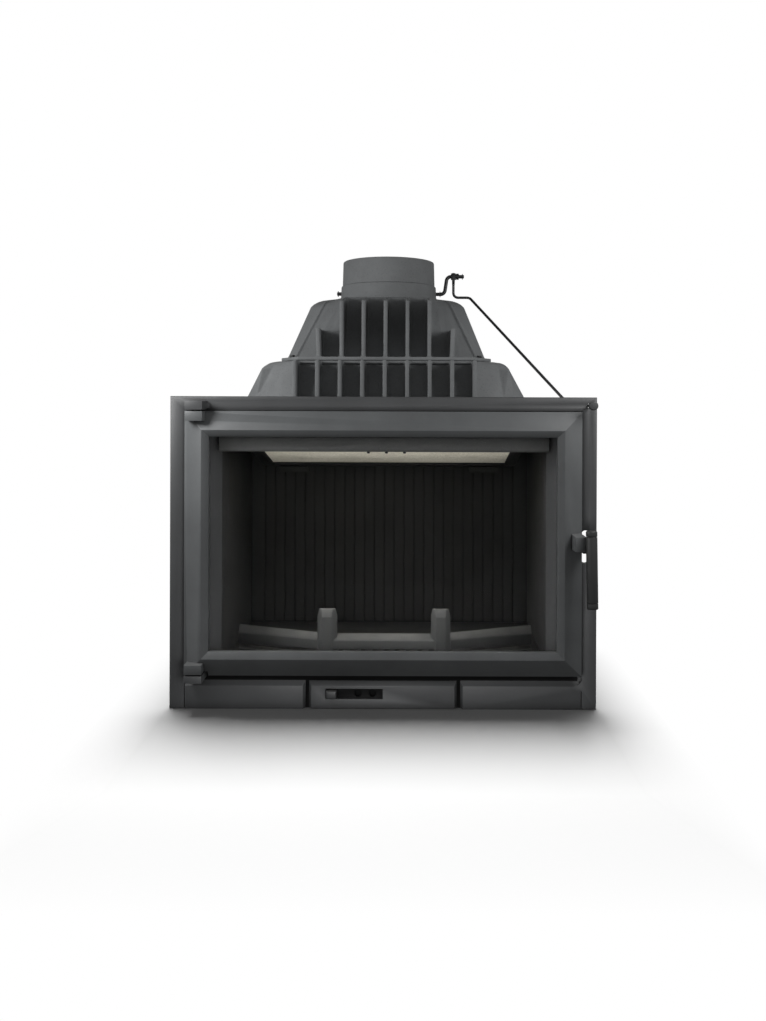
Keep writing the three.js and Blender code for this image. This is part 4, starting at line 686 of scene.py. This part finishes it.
# %% Bar helper
def bar_mesh(name, path, radius, sides=20):
    """A round bar along a path, with chamfered ends."""
    runs = [(b - a).normalized() for a, b in zip(path, path[1:])]
    tangents = [runs[0]] + [(a + b).normalized() for a, b in zip(runs, runs[1:])] + [runs[-1]]
    chamfer = radius / 4
    first, last = tangents[0], tangents[-1]
    stations = [
        (path[0], first, radius - chamfer),
        (path[0] + first * chamfer, first, radius),
        *((point, tangent, radius) for point, tangent in zip(path[1:-1], tangents[1:-1])),
        (path[-1] - last * chamfer, last, radius),
        (path[-1], last, radius - chamfer),
    ]
    across = first.orthogonal().normalized()
    verts, faces = [], []
    for centre, tangent, reach in stations:
        across = (across - tangent * across.dot(tangent)).normalized()
        other = tangent.cross(across)
        for side in range(sides):
            turn = 2 * math.pi * side / sides
            outward = across * math.cos(turn) + other * math.sin(turn)
            verts.append(centre + outward * reach)
    for ring in range(len(stations) - 1):
        for side in range(sides):
            a, b = ring * sides + side, ring * sides + (side + 1) % sides
            faces.append((a, b, b + sides, a + sides))
    faces.append(tuple(reversed(range(sides))))
    faces.append(tuple(range(len(verts) - sides, len(verts))))
    mesh = bpy.data.meshes.new(name)
    mesh.from_pydata([tuple(v) for v in verts], [], faces)
    return mesh


# %% [markdown]
# ## Hood castings
# The two storeys of the hood carry upright cooling ribs. They are the roughest castings of the
# insert and the ones whose fillets show best, so both are recast on the voxel grid. On each front
# corner the front panel and the side panel meet in a ridge with a bead along it, the seam of the
# mould. The solids carry the corner with its ridge only, a little too blunt, so the vertices near
# it are shifted before the recast: the ridge by one amount, the edge of the side panel by another.

# %% Hood corner measures
HOOD_VOXEL = 0.0015
RELAX_STEPS = 2
CAST_SMOOTH_TO = 80  # degrees, wider than elsewhere, because the voxel grid turns in small steps
BEAD_RADIUS, BEAD_SIDES = 2.6, 12
RIDGE_REACH = 20  # how far before the ridge the forward shift fades out, in mm
# Ridge and outer edge of a storey's corner (x, y, z in mm at the foot and below the rounded top),
# the shift of each in x at foot and top, the ridge's shift in y, the x where the last rib ends, and
# the bead's last stations round the top's rounding, measured from the ridge's top.
hood_corner = {
    "upper_hood": {
        "ridge": ((155.9, -84.8, 581.1), (108.9, -21.4, 679.1)),
        "wide": ((173.9, -59.8), (126.9, 3.6)),
        "ridge_shift": (3, 8), "ridge_forward": (0, 0), "wide_shift": (3, 16), "rib_end": 92,
        "rounding": ((-3.5, 4.8, 5.7), (-8.3, 11.2, 10.4)),
    },
    "lower_hood": {
        "ridge": ((227.5, -100.0, 505.3), (198.3, -89.8, 561.4)),
        "wide": ((249.5, -74.0), (220.3, -63.8)),
        "ridge_shift": (0, -17), "ridge_forward": (0, -18), "wide_shift": (0, 0), "rib_end": 155.3,
        "rounding": ((-2.9, 1.0, 4.3), (-6.7, 2.3, 7.9)),
    },
}


# %% Shifting a corner
def between(pair, share):
    return pair[0] + (pair[1] - pair[0]) * share


def clamp(value):
    return min(max(value, 0.0), 1.0)


def shift_corner(vert, corner):
    """Moves a vertex fully at the corner's edge and less towards the last rib, where it stays."""
    x, y, z = vert.co / MM
    (foot, top), rib_end = corner["ridge"], corner["rib_end"]
    rise = clamp((z - foot[2]) / (top[2] - foot[2]))
    ridge_x, ridge_y = between((foot[0], top[0]), rise), between((foot[1], top[1]), rise)
    wide_x, wide_y = (between([place[axis] for place in corner["wide"]], rise) for axis in (0, 1))
    around = clamp((y - ridge_y) / (wide_y - ridge_y))
    edge_x = between((ridge_x, wide_x), around)
    ridge_shift, wide_shift = (between(corner[key], rise) for key in ("ridge_shift", "wide_shift"))
    shift = between((ridge_shift, wide_shift), around)
    share = clamp((abs(x) - rib_end) / (edge_x - rib_end))
    vert.co.x += math.copysign(shift * share * MM, x)
    near_ridge = share * (1 - around) * clamp(1 - (ridge_y - y) / RIDGE_REACH)
    vert.co.y += between(corner["ridge_forward"], rise) * near_ridge * MM


# %% Beads and the recast
def bead_meshes(corner):
    foot, top = (Vector(place) for place in corner["ridge"])
    out, forward = corner["ridge_shift"], corner["ridge_forward"]
    path = [foot + Vector((out[0], forward[0], 0))]
    for step in ((0, 0, 0),) + corner["rounding"]:
        path.append(top + Vector((out[1], forward[1], 0)) + Vector(step))
    for side in (-1, 1):
        points = [Vector((side * p.x, p.y, p.z)) * MM for p in path]
        yield bar_mesh("bead", points, BEAD_RADIUS * MM, BEAD_SIDES)


def recast(piece):
    grid = piece.modifiers.new("grid", "REMESH")
    grid.mode = "VOXEL"
    grid.voxel_size = HOOD_VOXEL
    relax = piece.modifiers.new("relax", "SMOOTH")
    relax.factor = 0.5
    relax.iterations = RELAX_STEPS
    settle(piece, CAST_SMOOTH_TO)


for name, corner in hood_corner.items():
    casting = clean_copy(name)
    work = bmesh.new()
    work.from_mesh(casting.data)
    for vert in work.verts:
        shift_corner(vert, corner)
    for mesh in bead_meshes(corner):
        work.from_mesh(mesh)
    work.to_mesh(casting.data)
    work.free()
    recast(casting)
    stand_for(casting, name)
    print(name, "faces:", len(casting.data.polygons))

# %% [markdown]
# ## Pieces with bevelled edges
# Everything else keeps its crisp form and gets an edge radius that suits it: about a millimetre on
# castings, a few tenths on bolts and sheet metal. A bevel in the material alone would be quicker,
# but it doesn't change the outline, and the edges of this insert catch the light.

# %% Bevelled pieces
edge_radius = {
    "front_frame": 0.0008, "door_frame": 0.001, "drawer_front": 0.0009,
    "log_guard": 0.0016, "air_wash_bar": 0.0007, "hearth_plate": 0.001, "grate": 0.001,
    "side_liner_left": 0.001, "side_liner_right": 0.001, "back_liner": 0.0006,
    "deflector_carrier": 0.001, "deflector_board": 0.0012,
    "side_wall_left": 0.001, "side_wall_right": 0.001,
    "rear_wall": 0.001, "base_plate": 0.001, "top_plate": 0.001,
    "hood_bolt_1": 0.0004, "hood_bolt_2": 0.0004, "hood_bolt_3": 0.0004, "hood_bolt_4": 0.0004,
    "damper_plate": 0.0008, "rod_knob": 0.0006,
    "crank_washer_inner": 0.0002, "crank_washer_outer": 0.0002, "crank_nut": 0.0004,
    "hinge_pin_top": 0.0005, "hinge_pin_bottom": 0.0005, "hinge_washer": 0.0003,
    "handle_lever": 0.0006, "grip_sleeve": 0.0005, "grip_cap_top": 0.0005,
    "grip_cap_bottom": 0.0005, "pivot_bolt": 0.0006, "ash_pan": 0.0004,
    "air_slider_plate": 0.0003, "air_slider_knob": 0.0008, "rope_seal": 0.001,
    "door_glass": 0.0004, "glass_gasket": 0.0003,
}
for number in range(1, 5):
    edge_radius[f"glass_clip_{number}"] = 0.0003
    edge_radius[f"clip_screw_{number}"] = 0.0003
for name, radius in edge_radius.items():
    piece = clean_copy(name)
    add_bevel(piece, radius)
    stand_for(settle(piece), name)
print("bevelled pieces:", len(edge_radius))

# %% [markdown]
# ## Flue collar
# The ring and the spigot are turned on a lathe after casting, so they are truly round. Their solids
# have flat sides. Shading them smooth would leave the corners in the outline, so each is divided
# finer around and swelled out to the circle that its corners touch.

# %% Flue collar
FLAT_SIDES = 48  # of the solids
CUTS = 3  # new points on each flat side
FLUE_EDGE = 0.0007
LEVEL, SAME_REACH = 1e-5, 2e-4  # metres by which an edge round the flue may be out of true
STEP = 2 * math.pi / FLAT_SIDES
spigot_low, spigot_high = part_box("flue_spigot")
flue_centre = (spigot_low + spigot_high) / 2


def runs_around(edge):
    a, b = (vert.co - flue_centre for vert in edge.verts)
    level = abs(a.z - b.z) < LEVEL
    concentric = abs(a.xy.length - b.xy.length) < SAME_REACH
    return level and concentric and a.xy.angle(b.xy) > STEP / 2


for name in ("collar_ring", "flue_spigot"):
    piece = clean_copy(name)
    work = bmesh.new()
    work.from_mesh(piece.data)
    around = [edge for edge in work.edges if runs_around(edge)]
    bmesh.ops.subdivide_edges(work, edges=around, cuts=CUTS, use_grid_fill=True)
    for vert in work.verts:
        offset = vert.co - flue_centre
        turn = math.atan2(offset.y, offset.x) % STEP
        swell = math.cos(turn - STEP / 2) / math.cos(STEP / 2)
        vert.co.x = flue_centre.x + offset.x * swell
        vert.co.y = flue_centre.y + offset.y * swell
    work.to_mesh(piece.data)
    work.free()
    add_bevel(piece, FLUE_EDGE)
    stand_for(settle(piece), name)
    print(name, "faces:", len(piece.data.polygons))

# %% [markdown]
# ## Bent bars
# The axle and the control rod are round bar, bent cold round a former, so each bend is an arc. The
# arcs could be placed one by one, but a list of corners is easier to read and to change. So a path
# of straight stretches gets its corners rounded before the bar is laid along it.

# %% Bent bar helpers
ARC_STEPS = 7
BAR_SMOOTH_TO = 35  # degrees, so that the chamfers of the bars' ends stay crisp


def rounded_path(points, bend):
    """The path with every corner replaced by an arc of the bend's radius."""
    points = [Vector(p) * MM for p in points]
    path = [points[0]]
    for before, corner, after in zip(points, points[1:], points[2:]):
        back, ahead = (before - corner).normalized(), (after - corner).normalized()
        half = back.angle(ahead) / 2
        reach = bend * MM / math.tan(half)
        middle = (back + ahead).normalized()
        centre = corner + middle * (bend * MM / math.sin(half))
        start, end = corner + back * reach - centre, corner + ahead * reach - centre
        hinge, sweep = start.cross(end).normalized(), start.angle(end)
        for step in range(ARC_STEPS + 1):
            turn = Matrix.Rotation(sweep * step / ARC_STEPS, 3, hinge)
            path.append(centre + turn @ start)
    return path + [points[-1]]


def joined_piece(name, meshes):
    """One object out of several closed meshes."""
    work = bmesh.new()
    for mesh in meshes:
        work.from_mesh(mesh)
    bmesh.ops.recalc_face_normals(work, faces=work.faces)
    whole = bpy.data.meshes.new(name)
    work.to_mesh(whole)
    work.free()
    piece = bpy.data.objects.new(name, whole)
    bpy.context.scene.collection.objects.link(piece)
    whole.shade_smooth()
    whole.set_sharp_from_angle(angle=math.radians(BAR_SMOOTH_TO))
    return piece


# %% [markdown]
# ## Measures of the damper linkage
# The bars have to end where the construction's pieces end, so their places are read from its boxes
# and not typed in. What the boxes don't tell, the bends of the two bars, is given with each bar.

# %% Measures of the linkage, in mm
ROD_RADIUS, AXLE_RADIUS = 2.5, 3.5
BEND = 9
axle_low, axle_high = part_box("damper_axle")
knob_low, knob_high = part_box("rod_knob")
washer_low, washer_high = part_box("crank_washer_inner")
axle_start, axle_end = axle_low.x / MM, axle_high.x / MM
axle_z = axle_low.z / MM + AXLE_RADIUS
flue_y = (washer_low.y + washer_high.y) / 2 / MM
pin_z = (washer_low.z + washer_high.z) / 2 / MM
knob_x = (knob_low.x + knob_high.x) / 2 / MM
knob_z = (knob_low.z + knob_high.z) / 2 / MM
print("heights of axle, crank pin and knob:", [round(z, 1) for z in (axle_z, pin_z, knob_z)])

# %% [markdown]
# ## Control rod
# The rod comes out of the knob, turns across to the flue and climbs to the crank. There it carries
# a flat, upright link with a long slot, in which the crank's pin has room to rise and fall. Bar
# and link are one piece in the construction. The link could be cut out of it, but it is simpler to
# make it again to the same measures.

# %% Control rod
EYE_X, EYE_HALF, EYE_RIM = 126.5, 2.5, 3.5
EYE_WIDTH, EYE_HEIGHT = 15.8, 22.9
EYE_AIR = 0.4  # between the crank's pin and the slot's upper end
EYE_GRIP = 1  # how far the bar reaches into the link
EYE_STEPS = 12
KNEE_X, ELBOW_X, ROD_DROP = 158, 314, 41
ELBOW_DEPTH = 55  # behind the frame's face
KNOB_DEPTH = 9  # how far the bar stays behind the knob's face
elbow_y = ELBOW_DEPTH + front_y / MM
eye_z = pin_z + AXLE_RADIUS + EYE_AIR - (EYE_HEIGHT - 2 * EYE_RIM) / 2
rod_path = rounded_path([
    (EYE_X, flue_y, eye_z - EYE_HEIGHT / 2 + EYE_GRIP), (EYE_X, flue_y, pin_z - ROD_DROP),
    (KNEE_X, flue_y, pin_z - ROD_DROP), (ELBOW_X, elbow_y, knob_z),
    (knob_x, elbow_y, knob_z), (knob_x, knob_low.y / MM + KNOB_DEPTH, knob_z),
], BEND)


def eye_ring():
    """The slotted eye at the rod's end: an upright oblong link, flat on both sides."""
    verts, faces = [], []
    straight = (EYE_HEIGHT - EYE_WIDTH) / 2
    count = 2 * (EYE_STEPS + 1)
    for x, rim in ((-EYE_HALF, 0), (EYE_HALF, 0), (EYE_HALF, EYE_RIM), (-EYE_HALF, EYE_RIM)):
        radius = EYE_WIDTH / 2 - rim
        for top in (1, -1):
            for step in range(EYE_STEPS + 1):
                turn = math.pi * step / EYE_STEPS + (0 if top == 1 else math.pi)
                y = flue_y + radius * math.cos(turn)
                z = eye_z + top * straight + radius * math.sin(turn)
                verts.append(Vector((EYE_X + x, y, z)) * MM)
    for ring in range(4):
        for step in range(count):
            a, b = ring * count + step, ring * count + (step + 1) % count
            faces.append((a, b, (b + count) % (4 * count), (a + count) % (4 * count)))
    mesh = bpy.data.meshes.new("rod_eye")
    mesh.from_pydata([tuple(v) for v in verts], [], faces)
    return mesh


rod_bar = bar_mesh("rod_bar", rod_path, ROD_RADIUS * MM)
rod = joined_piece("control_rod_bar", [rod_bar, eye_ring()])
stand_for(rod, "control_rod")
print("control rod faces:", len(rod.data.polygons))

# %% [markdown]
# ## Damper axle
# The axle runs through the spigot, and its right end is bent up into a crank. The bar could be a
# straight rod with a crank bolted on, but the photograph shows one bent piece.

# %% Damper axle
CRANK_FOOT_X, CRANK_HEAD_X = 109, 114
axle_path = rounded_path([
    (axle_start, flue_y, axle_z), (CRANK_FOOT_X, flue_y, axle_z),
    (CRANK_HEAD_X, flue_y, pin_z), (axle_end, flue_y, pin_z),
], BEND)
axle_bar = joined_piece("damper_axle_bar", [bar_mesh("axle_bar", axle_path, AXLE_RADIUS * MM)])
stand_for(axle_bar, "damper_axle")
print("damper axle faces:", len(axle_bar.data.polygons))

# %% [markdown]
# ## Split pins
# Split pins hold the axle at both ends and beside the collar. A real one is a doubled wire with its
# legs spread. The wire is thinner than a pixel, so a short round bar through the axle stands in.

# %% Split pins
PIN_RADIUS, PIN_HALF = 0.8, 5.5
PIN_SIDES = 10
PIN_PLACES = (  # along and up, near the left end, beside the collar and near the right end
    (axle_start + 2.2, axle_z), (100.5, axle_z), (axle_end - 3, pin_z),
)
pins = []
for x, z in PIN_PLACES:
    ends = [Vector((x, flue_y, z + side * PIN_HALF)) * MM for side in (1, -1)]
    pins.append(bar_mesh("pin", ends, PIN_RADIUS * MM, PIN_SIDES))
split_pins = joined_piece("split_pins", pins)
split_pins.data.materials.append(black_steel)
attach(split_pins, body_of_node["damper_axle"])
print("split pins:", len(pins))

# %% [markdown]
# ## Screws under the air-wash bar
# Three small screws hold the bar from behind, and their dark ends show under its lower edge. Whole
# screws would be hidden but for these ends, so they are short round bars, made with the helper
# that made the pins.

# %% Screw ends
SCREW_PLACES = (-26, 4, 34)
SCREW_RADIUS = 2.6
SCREW_SUNK, SCREW_SHOWS = 1.5, 2.4  # above and below the bar's lower edge, in mm
SCREW_SIDES = 12
bar_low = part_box("air_wash_bar")[0]
screws = []
for x in SCREW_PLACES:
    spot = Vector((x * MM, bar_low.y + 2 * SCREW_RADIUS * MM, bar_low.z))
    ends = [spot + Vector((0, 0, SCREW_SUNK * MM)), spot - Vector((0, 0, SCREW_SHOWS * MM))]
    screws.append(bar_mesh("screw", ends, SCREW_RADIUS * MM, SCREW_SIDES))
screw_ends = joined_piece("air_wash_screw_ends", screws)
screw_ends.data.materials.append(black_steel)
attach(screw_ends, body_of_node["air_wash_bar"])
print("screw ends:", len(screws))

# %% [markdown]
# ## Painted shade in the joint under the door
# On the real front the joint between the door, the two pads and the ash drawer leads down into the
# body, and no light comes out of it. The solid frame is closed there. Darker paint on the frame
# would need a mask of its own, so a thin near-black strip on the floor of that joint paints the
# shade in as a dark line.

# %% Painted shade strip in the joint
JOINT_GROOVE = 6.5 * MM  # width of the joint beside the drawer
JOINT_DEPTH = 6 * MM
INLAY_LEFT, INLAY_RIGHT = -300 * MM, 320 * MM
INLAY_THICK = 0.4 * MM  # half of the inlay's thickness
INLAY_AIR = 0.4 * MM  # left free around it
door_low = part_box("door_frame")[0]
drawer_low, drawer_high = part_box("drawer_front")
joint_floor = drawer_low.y + JOINT_DEPTH
groove_inner, groove_outer = drawer_high.x + INLAY_AIR, drawer_high.x + JOINT_GROOVE - INLAY_AIR
band_low = drawer_high.z + INLAY_AIR
bands = []
for x0, x1, z0, z1 in (
    (INLAY_LEFT, INLAY_RIGHT, band_low, door_low.z - INLAY_AIR),
    (-groove_outer, -groove_inner, drawer_low.z, band_low),
    (groove_inner, groove_outer, drawer_low.z, band_low),
):
    outline = ((x0, z0), (x1, z0), (x1, z1), (x0, z1))
    verts = [(x, joint_floor + side * INLAY_THICK, z) for side in (-1, 1) for x, z in outline]
    faces = [(0, 1, 2, 3), (7, 6, 5, 4), (0, 4, 5, 1), (1, 5, 6, 2), (2, 6, 7, 3), (3, 7, 4, 0)]
    band = bpy.data.meshes.new("joint_shade_band")
    band.from_pydata(verts, [], faces)
    bands.append(band)
shade_inlay = joined_piece("joint_painted_shade", bands)
# painted shade: the strip is near-black so that the joint reads as shade
shade_inlay.data.materials.append(shade_black)
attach(shade_inlay, body_of_node["front_frame"])
print("inlay bands:", len(bands))
